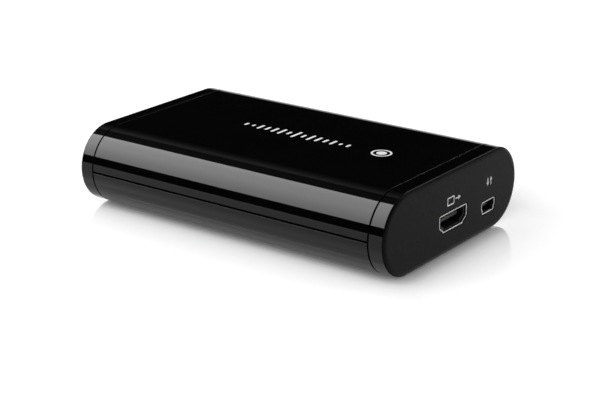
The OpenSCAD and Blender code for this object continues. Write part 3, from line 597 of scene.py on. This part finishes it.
class CAPTUREBOX_OT_shells(bpy.types.Operator):
    """Mould the two half shells with their lip, ribs, screw bosses, towers, posts and sunk places"""
    bl_idname = "capture_box.shells"
    bl_label = "Half shells"

    def execute(self, context):
        case = in_mm(context.scene.capture_box_case)
        self.top_shell(case)
        self.bottom_shell(case)
        return {"FINISHED"}

    def top_shell(self, case):
        gap, lip = case.parting_gap / 2, case.lip_height
        inner, rebate = SIDE_R - case.wall, SIDE_R - case.wall / 2
        bm = bmesh.new()
        draw(bm, (0, TOP), [
            (FLAT, TOP), (FLAT, MID, rise(SIDE_R, gap) - 90),
            (reach(rebate, gap), MID + gap), (FLAT, MID, rise(rebate, lip) - rise(rebate, gap)),
            (reach(inner, lip), MID + lip), (FLAT, MID, 90 - rise(inner, lip)), (0, MID + inner),
        ])
        pulled_shell(bm, case)
        ceiling = TOP - case.wall
        boss, bore, tip = case.boss_width / 2, case.thread_hole / 2, SCREW_TIP + case.tip_room
        ribs = [outline(bm, rectangle(x, 0, case.rib_width, 2 * FLAT), ceiling)
                for x in (-case.rib_pitch / 2, case.rib_pitch / 2)]
        holes = ribs[:]
        for x, y in corners("rubber_feet", case.foot_width):
            rings = turned(bm, [(boss, ceiling), (boss, MID), (bore, MID), (bore, tip), (0, tip)], x, y)
            holes.append(rings[round(ceiling, 2)])
        pierce(bm, face_at(bm, ceiling), holes)
        for rib in ribs:
            sink(bm, rib, -case.rib_height)
        piece(bm, "gloss_top_shell", AS_DRAWN, CASE_FINISHES, "top_shell")

    def bottom_shell(self, case):
        gap, lip = case.parting_gap / 2, case.lip_height
        inner = SIDE_R - case.wall
        tongue = SIDE_R - case.wall / 2 - case.lip_play
        bm = bmesh.new()
        draw(bm, (0, UNDER), [
            (FLAT, UNDER), (FLAT, MID, 90 - rise(SIDE_R, gap)),
            (reach(tongue, gap), MID - gap), (FLAT, MID, rise(tongue, gap) + rise(tongue, lip)),
            (reach(inner, lip), MID + lip), (FLAT, MID, -90 - rise(inner, lip)), (0, MID - inner),
        ])
        pulled_shell(bm, case)
        inside = UNDER + case.wall
        pocket, well = case.foot_width / 2 + case.foot_play, case.well_width / 2
        shank, seat = case.screw_hole / 2, UNDER + case.screw_seat
        tower, bore, post = case.tower_width / 2, case.thread_hole / 2, case.post_width / 2
        panel = outline(bm, rectangle(0, 0, case.panel_length, case.panel_width), UNDER, case.panel_corner)
        below, above = [panel], []
        for x, y in corners("rubber_feet", case.foot_width):
            rings = turned(bm, [(pocket, UNDER), (pocket, FOOT_TOP), (well, FOOT_TOP), (well, seat),
                                (shank, seat), (shank, MID), (tower, MID), (tower, inside)], x, y)
            below.append(rings[round(UNDER, 2)])
            above.append(rings[round(inside, 2)])
        pierce(bm, face_at(bm, UNDER), below)
        pierce(bm, face_at(bm, inside), above)
        sink(bm, panel, case.panel_depth)
        root, tip = inside - case.wall / 2, BOARD_SCREW_TIP - case.tip_room
        for x, y in corners("board_screws", case.board_screw_head):
            turned(bm, [(0, root), (post, root), (post, BOARD_UNDER), (bore, BOARD_UNDER), (bore, tip),
                        (0, tip)], x, y)
        piece(bm, "gloss_bottom_shell", AS_DRAWN, CASE_FINISHES, "bottom_shell")


def grown(points, by):
    """An outline, listed anticlockwise, moved outwards all round by a distance."""
    moved = []
    for before, here, after in zip(points[-1:] + points[:-1], points, points[1:] + points[:1]):
        first, second = ((Vector(b) - Vector(a)).normalized() for a, b in ((before, here), (here, after)))
        out_first, out_second = (Vector((run.y, -run.x)) for run in (first, second))
        moved.append(tuple(Vector(here) + by * (out_first + out_second) / (1 + out_first.dot(out_second))))
    return moved


def socket_outline(w, h, bottom, socket, y):
    """The stepped outline of a mouth or a rim, anticlockwise in Y and Z."""
    half = w / 2
    foot = half - socket.cut
    right = [(foot, 0), (foot, socket.cut_foot), (half, socket.cut_top), (half, h)]
    left = [(-across, up) for across, up in reversed(right)]
    return [(y + across, bottom + up) for across, up in right + left]


def socket_middle(node):
    """How far across a socket's middle lies, seen from its end."""
    return SOCKETS[node].end * sum(extent(node, "Y")) / 2


def socket_lines(node):
    """Outlines of a socket's mouth and rim seen from its end, and the place of its rim's front."""
    socket = SOCKETS[node]
    y = socket_middle(node)
    front = max(abs(x) for x in extent(node, "X"))
    rim_bottom = extent(node, "Z")[1] - socket.rim_h
    mouth_bottom = rim_bottom + (socket.rim_h - socket.mouth_h) / 2
    mouth = socket_outline(socket.mouth_w, socket.mouth_h, mouth_bottom, socket, y)
    rim = socket_outline(socket.rim_w, socket.rim_h, rim_bottom, socket, y)
    return mouth, rim, front


def facing(end):
    """The turn that lays an end-on drawing along the case at one end."""
    return END_ON if end > 0 else HALF_TURN @ END_ON


# Facets of a cap's outer rounding that lean to its end by more than this are matt
MATT_LEAN = 0.02


class CAPTUREBOX_OT_end_caps(bpy.types.Operator):
    """Mould the two end caps: a gloss band, a matt face with socket openings, and the spigot behind"""
    bl_idname = "capture_box.end_caps"
    bl_label = "End caps"

    def execute(self, context):
        case = in_mm(context.scene.capture_box_case)
        shared = in_mm(context.scene.capture_box_sockets)
        for name, end in (("output_end_cap", 1), ("input_end_cap", -1)):
            self.cap(case, shared, name, end)
        return {"FINISHED"}

    def cap(self, case, shared, name, end):
        bm = bmesh.new()
        seam = SHELL_X + case.seam_gap
        back = draw(bm, (0, TOP), [(FLAT, TOP), (FLAT, MID, -180), (-FLAT, UNDER), (-FLAT, MID, -180)])
        bmesh.ops.translate(bm, verts=bm.verts, vec=(0, 0, seam))
        pull(bm, back, FACE_X - seam)
        flatter = case.cap_round / case.cap_soft
        about_face = Matrix.Translation((0, 0, -FACE_X))
        bmesh.ops.scale(bm, vec=(1, 1, 1 / flatter), space=about_face, verts=bm.verts)
        soften(bm, end_rim(bm, FACE_X), case.cap_soft, steps=8)
        bmesh.ops.scale(bm, vec=(1, 1, flatter), space=about_face, verts=bm.verts)
        soften(bm, end_rim(bm, seam), case.seam_round)
        behind = face_at(bm, seam)
        for radius, place in ((case.spigot_radius, SPIGOT_X),
                              (case.spigot_radius - case.spigot_wall, FACE_X - case.face_wall)):
            now = max(spine_radius(v.co) for v in behind.verts)
            here = behind.verts[0].co.z
            bmesh.ops.inset_region(bm, faces=[behind], thickness=now - radius, use_even_offset=True)
            pulled = pull(bm, [behind], place - here)[0]
            bmesh.ops.delete(bm, geom=[behind], context="FACES_ONLY")
            behind = pulled
        openings = [grown(socket_lines(node)[1], shared.rim_gap) for node, socket in SOCKETS.items()
                    if socket.end == end]
        rounding = shared.corner + shared.rim_gap
        outside = [outline(bm, points, FACE_X, rounding) for points in openings]
        inside = [run_on(bm, edges, -case.face_wall) for edges in outside]
        pierce(bm, face_at(bm, FACE_X), outside)
        pierce(bm, behind, inside)
        bmesh.ops.recalc_face_normals(bm, faces=bm.faces)
        for face in bm.faces:
            outmost = max(spine_radius(v.co) for v in face.verts)
            at_front = min(v.co.z for v in face.verts) > FACE_X - case.face_wall - NEAR
            at_back = max(v.co.z for v in face.verts) < seam + NEAR
            on_face = outmost < SIDE_R - case.cap_soft + NEAR or face.normal.z > MATT_LEAN
            in_seam = outmost < SIDE_R - case.seam_round + NEAR
            face.material_index = int(at_front and on_face or at_back and in_seam)
        piece(bm, "moulded_" + name, facing(end), CASE_FINISHES, name)


# A contact spring's length as a share of its socket's depth, and its start behind the shelf in millimetres
SPRING_SHARE = 0.5
SPRING_START = 1.0


class CAPTUREBOX_OT_sockets(bpy.types.Operator):
    """Form the sockets' sheet-metal shells with their rims, springs and soldered legs, with painted shade
    on their walls behind the rims
    """
    bl_idname = "capture_box.sockets"
    bl_label = "Socket shells"

    def execute(self, context):
        shared = in_mm(context.scene.capture_box_sockets)
        for node in SOCKETS:
            self.shell(shared, node)
        return {"FINISHED"}

    def shell(self, shared, node):
        socket = SOCKETS[node]
        mouth, rim, front = socket_lines(node)
        depth = extent(node, "X")[1] - extent(node, "X")[0]
        shelf = front - shared.rim_depth
        heel = shelf - shared.rim_depth
        tail = front - depth
        corner = shared.corner
        bm = bmesh.new()
        walls = []
        for points, start, stop, bend in ((rim, heel, front, corner),
                                          (grown(rim, -shared.rim), front, shelf, corner / 2),
                                          (mouth, shelf, tail, corner / 2),
                                          (grown(mouth, shared.sheet), tail, heel, corner)):
            first = outline(bm, points, start, bend)
            walls.append((first, run_on(bm, first, stop - start)))
        for wall, next_wall in zip(walls, walls[1:] + walls[:1]):
            bmesh.ops.triangle_fill(bm, edges=wall[1] + next_wall[0], use_beauty=True)
        soften(bm, walls[0][1] + walls[1][0], shared.edge)
        # Faces behind the rim's front edge take the near-black copy of the nickel: painted shade in the
        # mouth
        for face in bm.faces:
            face.material_index = int(all(v.co.z < front - shared.edge + NEAR for v in face.verts))
        roof = max(up for across, up in mouth)
        self.legs(bm, shared, node, roof, front, depth)
        self.springs(bm, shared, node, roof, shelf, depth)
        piece(bm, "nickel_" + node, facing(socket.end), ["bright_nickel", "dark_plating"],
              node)

    def legs(self, bm, shared, node, roof, front, depth):
        """Four legs from beside the mouth down through the board."""
        foot = extent(node, "Z")[0]
        size = Matrix.Diagonal((shared.sheet, roof - foot, shared.leg, 1))
        for side in (-1, 1):
            across = socket_middle(node) + side * (SOCKETS[node].mouth_w + shared.sheet) / 2
            for step in (shared.leg_step, depth - shared.leg):
                place = Matrix.Translation((across, (roof + foot) / 2, front - step))
                box = bmesh.ops.create_cube(bm, size=1, matrix=place @ size)
                tips = {e for v in box["verts"] for e in v.link_edges
                        if abs(e.verts[0].co.y - e.verts[1].co.y) < NEAR and e.verts[0].co.y < foot + NEAR}
                soften(bm, list(tips), shared.sheet / 4, steps=1)

    def springs(self, bm, shared, node, roof, shelf, depth):
        """Springs that bend down into the mouth from its upper wall."""
        run = depth * SPRING_SHARE
        middle = shelf - SPRING_START - run / 2
        size = Matrix.Rotation(math.pi / 2, 4, "X") @ Matrix.Diagonal((shared.spring, run, 1, 1))
        for across in SOCKETS[node].springs:
            place = Matrix.Translation((socket_middle(node) + across, roof, middle))
            strip = bmesh.ops.create_grid(bm, x_segments=2, y_segments=8, size=0.5,
                                          matrix=place @ size)["verts"]
            for vert in strip:
                along = (vert.co.z - middle) / run
                vert.co.y -= shared.spring_reach * math.cos(math.pi * along)
            skin = list({f for v in strip for f in v.link_faces})
            bmesh.ops.solidify(bm, geom=skin, thickness=shared.sheet / 2)


# Section of a foot's lower edge: how far in from the side and up, in shares of its rounding
FOOT_EDGE = ((1.0, 0.0), (0.6, 0.08), (0.3, 0.3), (0.08, 0.6), (0.0, 1.0))


class CAPTUREBOX_OT_feet(bpy.types.Operator):
    """Turn the four rubber feet with their rounded edges"""
    bl_idname = "capture_box.feet"
    bl_label = "Feet"

    def execute(self, context):
        case = in_mm(context.scene.capture_box_case)
        radius = case.foot_width / 2
        edge = [(radius - case.foot_round * inward, case.foot_round * up) for inward, up in FOOT_EDGE]
        bm = bmesh.new()
        for x, y in corners("rubber_feet", case.foot_width):
            turned(bm, [(0, 0), *edge, (radius, FOOT_TOP), (0, FOOT_TOP)], x, y, steps=64)
        piece(bm, "soft_feet", AS_DRAWN, ["foot_black"], "rubber_feet")
        return {"FINISHED"}


# Level motif: the least bar as a share of the tallest, the pace at which bars rise and fall, and a bar's
# corner as a share of its width
LEAST_BAR, BAR_PACE, BAR_CORNER = 0.25, 1.3, 0.45
# The line of the ring round the dot, in printed lines
RING_LINES = 1.6
# A screen with an arrow: its width, and the arrow's length and width, as shares of a sign's height
SCREEN_W, ARROW_L, ARROW_W = 1.5, 1.1, 0.6
# How far they stand from a socket's middle, and the screen's corner, in millimetres
SCREEN_STEP, ARROW_STEP, SCREEN_CORNER = 2.0, 2.3, 0.4
# Two arrows: their width and step from the middle, and three rings: their radius and step, as such shares
PAIR_W, PAIR_STEP, RING_R, RING_STEP = 0.55, 0.35, 0.45, 1.2
# Length of an arrow's head as a share of the arrow's width
ARROW_HEAD = 0.8


def rounded_plate(bm, x, y, w, h, corner):
    """A flat plate with rounded corners, drawn about a place."""
    bmesh.ops.edgeloop_fill(bm, edges=outline(bm, rectangle(x, y, w, h), 0, corner))


def frame_plate(bm, x, y, w, h, line, corner):
    """A flat frame with rounded corners, drawn about a place."""
    loops = []
    for inset in (0, line):
        points = rectangle(x, y, w - 2 * inset, h - 2 * inset)
        loops += outline(bm, points, 0, corner - inset / 2)
    bmesh.ops.bridge_loops(bm, edges=loops)


def ring_plate(bm, x, y, radius, line):
    """A flat ring drawn about a place."""
    place = Matrix.Translation((x, y, 0))
    drawn = set(bm.edges)
    for size in (radius, radius - line):
        bmesh.ops.create_circle(bm, segments=64, radius=size, matrix=place)
    bmesh.ops.bridge_loops(bm, edges=[e for e in bm.edges if e not in drawn])


def arrow_plate(bm, x, y, w, h, line, turn=0):
    """A flat arrow that points right, turned about its middle."""
    tail, tip, stem, barb = -w / 2, w / 2, line / 2, h / 2
    neck = tip - h * ARROW_HEAD
    points = [(tail, -stem), (neck, -stem), (neck, -barb), (tip, 0), (neck, barb), (neck, stem),
              (tail, stem)]
    arrow = bm.faces.new([bm.verts.new((*point, 0)) for point in points])
    place = Matrix.Translation((x, y, 0)) @ Matrix.Rotation(math.radians(turn), 4, "Z")
    bmesh.ops.transform(bm, matrix=place, verts=arrow.verts)


class CAPTUREBOX_OT_printed_marks(bpy.types.Operator):
    """Print a level motif and a ring with a dot on the top, and plain signs over the sockets"""
    bl_idname = "capture_box.printed_marks"
    bl_label = "Printed marks"

    def execute(self, context):
        marks = in_mm(context.scene.capture_box_print)
        self.on_top(marks, context.scene.capture_box_print.bars)
        self.over_outputs(marks)
        self.over_inputs(marks)
        return {"FINISHED"}

    def on_top(self, marks, bars):
        bm = bmesh.new()
        for step in range(bars):
            along = step - (bars - 1) / 2
            swell = math.cos(math.pi * along / (bars + 1)) * abs(math.cos(along * BAR_PACE))
            height = marks.bar_height * (LEAST_BAR + (1 - LEAST_BAR) * swell)
            rounded_plate(bm, along * marks.bar_pitch, 0, marks.bar_width, height,
                          marks.bar_width * BAR_CORNER)
        ring_plate(bm, marks.dot_place, 0, marks.dot_width / 2, marks.line * RING_LINES)
        bmesh.ops.create_circle(bm, cap_ends=True, segments=48, radius=marks.dot_width / 4,
                                matrix=Matrix.Translation((marks.dot_place, 0, 0)))
        self.print_on(bm, marks, "top_print", Matrix.Translation((0, 0, TOP)))

    def over_outputs(self, marks):
        bm = bmesh.new()
        self.screen(bm, marks, "video_out_shell", 1)
        y, sign = socket_middle("data_shell"), marks.sign_height
        for side in (-1, 1):
            arrow_plate(bm, y + side * sign * PAIR_STEP, marks.sign_place, sign, sign * PAIR_W, marks.line,
                        side * 90)
        self.print_on(bm, marks, "output_print", facing(1) @ Matrix.Translation((0, 0, FACE_X)))

    def over_inputs(self, marks):
        bm = bmesh.new()
        self.screen(bm, marks, "video_in_shell", -1)
        y, sign = socket_middle("analogue_shell"), marks.sign_height
        for step in (-1, 0, 1):
            ring_plate(bm, y + step * sign * RING_STEP, marks.sign_place, sign * RING_R, marks.line)
        self.print_on(bm, marks, "input_print", facing(-1) @ Matrix.Translation((0, 0, FACE_X)))

    def screen(self, bm, marks, node, side):
        """A screen over a socket, with an arrow to the right of it or to its left."""
        y, z, sign = socket_middle(node), marks.sign_place, marks.sign_height
        frame_plate(bm, y - side * SCREEN_STEP, z, sign * SCREEN_W, sign, marks.line, SCREEN_CORNER)
        arrow_plate(bm, y + side * ARROW_STEP, z, sign * ARROW_L, sign * ARROW_W, marks.line)

    def print_on(self, bm, marks, name, place):
        """Give flat marks the thickness of ink and lay them on a surface."""
        bmesh.ops.recalc_face_normals(bm, faces=bm.faces)
        for face in bm.faces:
            if face.normal.z < 0:
                face.normal_flip()
        pull(bm, bm.faces[:], marks.ink)
        piece(bm, name, place, ["pale_ink"])


class CAPTUREBOX_OT_inner_finishes(bpy.types.Operator):
    """Give the solids that stay in view through the sockets, and all inside, their finishes"""
    bl_idname = "capture_box.inner_finishes"
    bl_label = "Finishes inside"

    def execute(self, context):
        slots = {part["node"]: part["material_slot"] for part in frame["record"]["subparts"]}
        for name, node in frame["nodes"].items():
            if slots[name] in GRAIN or slots[name] == "board_laminate":
                node.data.materials.clear()
                node.data.materials.append(finish(slots[name]))
        return {"FINISHED"}


# Strength of the floor's mirror image from beside the box (0) to the end of its reach (1)
MIRROR = ((0.0, 0.86), (0.067, 0.8), (0.15, 0.695), (0.233, 0.52), (0.313, 0.32), (0.397, 0.215),
          (0.477, 0.155), (0.6, 0.1), (0.733, 0.06), (1.0, 0.0))
# How far in from the end faces that image starts to thin out, in millimetres
END_START = 4.2
# Width over which its thinning rounds the corners, in millimetres
CORNER_BLEND = 14.0
# The floor's mottle: the size of its patches in millimetres and their shade, and the polish's roughness
MOTTLE, MOTTLE_SHADE, FLOOR_POLISH = 40.0, 0.99, 0.06


def floor_white(tone, glow, mirror_reach):
    """A pale floor that shows as white, still takes shadows and mirrors the box close by."""
    made, tree = new_finish("studio_floor")
    own = add(tree, "TexCoord").outputs["Object"]
    base = tint(tree, noise(tree, own, MOTTLE), shade_of(tone, MOTTLE_SHADE), tone)
    matt = add(tree, "BsdfDiffuse", {"Color": base})
    path = add(tree, "LightPath").outputs
    seen = calc(tree, "MAXIMUM", path["Is Camera Ray"], path["Is Glossy Ray"])
    seen = calc(tree, "MAXIMUM", seen, path["Is Transmission Ray"])
    white = add(tree, "Emission", {"Strength": calc(tree, "MULTIPLY", seen, glow)})
    both = add(tree, "AddShader", {0: matt.outputs[0], 1: white.outputs[0]})
    polish = add(tree, "BsdfGlossy", {"Color": (1, 1, 1, 1), "Roughness": FLOOR_POLISH})
    side = add(tree, "VectorMath", {0: own}, operation="ABSOLUTE").outputs[0]
    start = ((FACE_X - END_START) * MM, FLAT * MM, 0)
    past = add(tree, "VectorMath", {0: side, 1: start}, operation="SUBTRACT").outputs[0]
    ways = add(tree, "SeparateXYZ", {0: past}).outputs
    away = calc(tree, "SMOOTH_MAX", ways["X"], ways["Y"], CORNER_BLEND * MM)
    share = levels(tree, between(tree, away, 0, 1, 0, mirror_reach), MIRROR)
    return surfaced(made, add(tree, "MixShader", {0: share, 1: both.outputs[0], 2: polish.outputs[0]}))


# Half the floor's width, in metres
FLOOR_HALF = 6
# Width of the camera's sensor, in millimetres
SENSOR_WIDTH = 36
# A lamp in metres: its brightness setting, its upper and lower edge, its width, where along X it faces,
# whether it lights the floor alone or all but the floor, and the share of its brightness at its lower edge
Lamp = namedtuple("Lamp", "setting upper lower width aim_x for_floor foot")
LAMPS = {
    "front_strip": Lamp("strip", (-0.825, -0.034, 1.2), (-0.825, -1.1384, 0.4763), 0.66, -0.825, False,
                        0.72),
    "rear_strip": Lamp("rear", (0.65, 0.935, 0.903), (0.65, 1.148, 0.61), 1.9, 0.65, False, 0.5),
    "overhead_box": Lamp("overhead", (0.1, 0.9, 1.6), (0.1, -0.9, 1.6), 1.8, 0, False, 1.0),
    "front_card": Lamp("front", (0, -0.85, 1.5), (0, -1.9, 0.1), 3.4, 0, True, 1.0),
}
WHITE_CARD = Lamp("card", (0, 1.6, 1.5), (0, 2.0, 0.1), 2.3, 0, True, 1.0)
# White cards that stand round the floor
CARDS = 6
# Share of its height over which a lamp dims towards its lower edge
DIM_HEIGHT = 0.6
# Brightness of the room's ceiling from straight above (0) to the tops of its walls (1)
CEILING = ((0.0, 0.12), (0.15, 0.1), (0.27, 0.06), (0.295, 0.03), (0.31, 0.38), (0.36, 0.34), (0.42, 0.27),
           (0.51, 0.13), (0.63, 0.06), (0.8, 0.02), (1.0, 0.0))
# Across over up, where the ceiling ends
CEILING_END = 1.5
# Heights over which the pale wall behind fades out, and how far back it fades in
WALL_TOP = (0.12, 0.22)
WALL_BACK = (0.1, 0.4)
# Brightness of the rest of the room
DIM_ROOM = 0.004


class CAPTUREBOX_OT_stage(bpy.types.Operator):
    """Set the pale floor, the soft lamps, the dim room and the camera"""
    bl_idname = "capture_box.stage"
    bl_label = "Studio"

    def execute(self, context):
        studio = context.scene.capture_box_studio
        tones = context.scene.capture_box_colours
        context.scene.view_settings.view_transform = "Standard"
        floor = self.floor(context, tones, studio)
        self.lamps(context, studio, floor)
        self.room(context)
        self.camera(context, studio)
        return {"FINISHED"}

    def floor(self, context, tones, studio):
        bm = bmesh.new()
        bmesh.ops.create_grid(bm, x_segments=1, y_segments=1, size=FLOOR_HALF)
        mesh = bpy.data.meshes.new("studio_floor")
        bm.to_mesh(mesh)
        bm.free()
        mesh.materials.append(floor_white(tones.floor, studio.glow, studio.mirror_reach))
        floor = bpy.data.objects.new("studio_floor", mesh)
        context.scene.collection.objects.link(floor)
        return floor

    def lamps(self, context, studio, floor):
        only_floor = bpy.data.collections.new("Lit by the cards")
        no_floor = bpy.data.collections.new("Missed by the boxes")
        for lit in (only_floor, no_floor):
            lit.objects.link(floor)
        no_floor.collection_objects[0].light_linking.link_state = "EXCLUDE"
        stands = [(name, form, 0) for name, form in LAMPS.items()]
        stands += [(f"white_card_{step + 1}", WHITE_CARD, studio.azimuth + math.tau * step / CARDS)
                   for step in range(CARDS)]
        for name, form, turn in stands:
            lamp = self.lamp(name, form, getattr(studio, form.setting), turn)
            lamp.light_linking.receiver_collection = only_floor if form.for_floor else no_floor
            context.scene.collection.objects.link(lamp)

    def lamp(self, name, form, level, turn):
        """A flat lamp between its upper and lower edge, turned about the upright axis."""
        upper, lower = Vector(form.upper), Vector(form.lower)
        data = bpy.data.lights.new(name, "AREA")
        data.shape = "RECTANGLE"
        data.size = form.width
        data.size_y = (upper - lower).length
        data.energy = math.pi * form.width * (upper - lower).length * level
        if form.foot < 1:
            data.use_nodes = True
            tree = data.node_tree
            place = add(tree, "NewGeometry").outputs["Parametric"]
            up = add(tree, "SeparateXYZ", {0: place}).outputs["Y"]
            dimmed = between(tree, up, form.foot, 1, 0, DIM_HEIGHT, "SMOOTHSTEP")
            tree.links.new(dimmed, tree.nodes["Emission"].inputs["Strength"])
        up = (upper - lower).normalized()
        middle = (upper + lower) / 2
        side = up.cross(middle - Vector((form.aim_x, 0, 0))).normalized()
        facing_box = Matrix((side, up, side.cross(up))).transposed().to_4x4()
        lamp = bpy.data.objects.new(name, data)
        lamp.matrix_world = Matrix.Rotation(turn, 4, "Z") @ Matrix.Translation(middle) @ facing_box
        return lamp

    def room(self, context):
        """A dim room whose ceiling pales towards two long edges, with a pale wall low behind."""
        world = bpy.data.worlds.new("Studio room")
        world.use_nodes = True
        context.scene.world = world
        tree = world.node_tree
        tree.nodes.clear()
        ways = add(tree, "SeparateXYZ", {0: add(tree, "TexCoord").outputs["Generated"]}).outputs
        lean = calc(tree, "DIVIDE", calc(tree, "ABSOLUTE", ways["Y"]), ways["Z"])
        ceiling = levels(tree, between(tree, lean, 0, 1, 0, CEILING_END), CEILING)
        low = between(tree, ways["Z"], 1, 0, *WALL_TOP, "SMOOTHSTEP")
        wall = calc(tree, "MULTIPLY", low, between(tree, ways["Y"], 0, 1, *WALL_BACK))
        total = calc(tree, "ADD", calc(tree, "ADD", ceiling, wall), DIM_ROOM)
        back = add(tree, "Background", {"Strength": total})
        add(tree, "OutputWorld", {"Surface": back.outputs[0]})

    def camera(self, context, studio):
        sin_a, cos_a = math.sin(studio.azimuth), math.cos(studio.azimuth)
        sin_e, cos_e = math.sin(studio.elevation), math.cos(studio.elevation)
        back = Vector((sin_a * cos_e, -cos_a * cos_e, sin_e))
        right = Vector((cos_a, sin_a, 0))
        data = bpy.data.cameras.new("photo_camera")
        data.lens = studio.lens
        data.sensor_width = SENSOR_WIDTH
        camera = bpy.data.objects.new("photo_camera", data)
        camera.location = (Vector((0, 0, studio.target_height)) + back * studio.distance
                           + right * studio.pan_right - back.cross(right) * studio.pan_down)
        camera.rotation_euler = (-back).to_track_quat("-Z", "Y").to_euler()
        context.scene.collection.objects.link(camera)
        context.scene.camera = camera


GROUPS = {
    "capture_box_case": CAPTUREBOX_PG_case,
    "capture_box_sockets": CAPTUREBOX_PG_sockets,
    "capture_box_print": CAPTUREBOX_PG_print,
    "capture_box_colours": CAPTUREBOX_PG_colours,
    "capture_box_studio": CAPTUREBOX_PG_studio,
}

STEPS = (
    CAPTUREBOX_OT_shells,
    CAPTUREBOX_OT_end_caps,
    CAPTUREBOX_OT_sockets,
    CAPTUREBOX_OT_feet,
    CAPTUREBOX_OT_printed_marks,
    CAPTUREBOX_OT_inner_finishes,
    CAPTUREBOX_OT_stage,
)


class CAPTUREBOX_PT_panel(bpy.types.Panel):
    """Lists the steps that build the box and the settings that they use"""
    bl_idname = "CAPTUREBOX_PT_panel"
    bl_label = "Capture Box"
    bl_space_type = "VIEW_3D"
    bl_region_type = "UI"
    bl_category = "Capture Box"

    def draw(self, context):
        for step in STEPS:
            self.layout.operator(step.bl_idname)
        for name, group in GROUPS.items():
            box = self.layout.box()
            for setting in group.__annotations__:
                box.prop(getattr(context.scene, name), setting)


def register():
    """Make the classes known and hang their settings on the scene."""
    for known in (*GROUPS.values(), *STEPS, CAPTUREBOX_PT_panel):
        bpy.utils.register_class(known)
    for name, group in GROUPS.items():
        setattr(bpy.types.Scene, name, PointerProperty(type=group))


def unregister():
    """Take the settings and the classes away again."""
    for name in GROUPS:
        delattr(bpy.types.Scene, name)
    for known in reversed((*GROUPS.values(), *STEPS, CAPTUREBOX_PT_panel)):
        bpy.utils.unregister_class(known)


def main():
    """Build every piece and the studio."""
    register()
    bpy.ops.capture_box.shells()
    bpy.ops.capture_box.end_caps()
    bpy.ops.capture_box.sockets()
    bpy.ops.capture_box.feet()
    bpy.ops.capture_box.printed_marks()
    bpy.ops.capture_box.inner_finishes()
    bpy.ops.capture_box.stage()


if __name__ == "__main__":
    main()
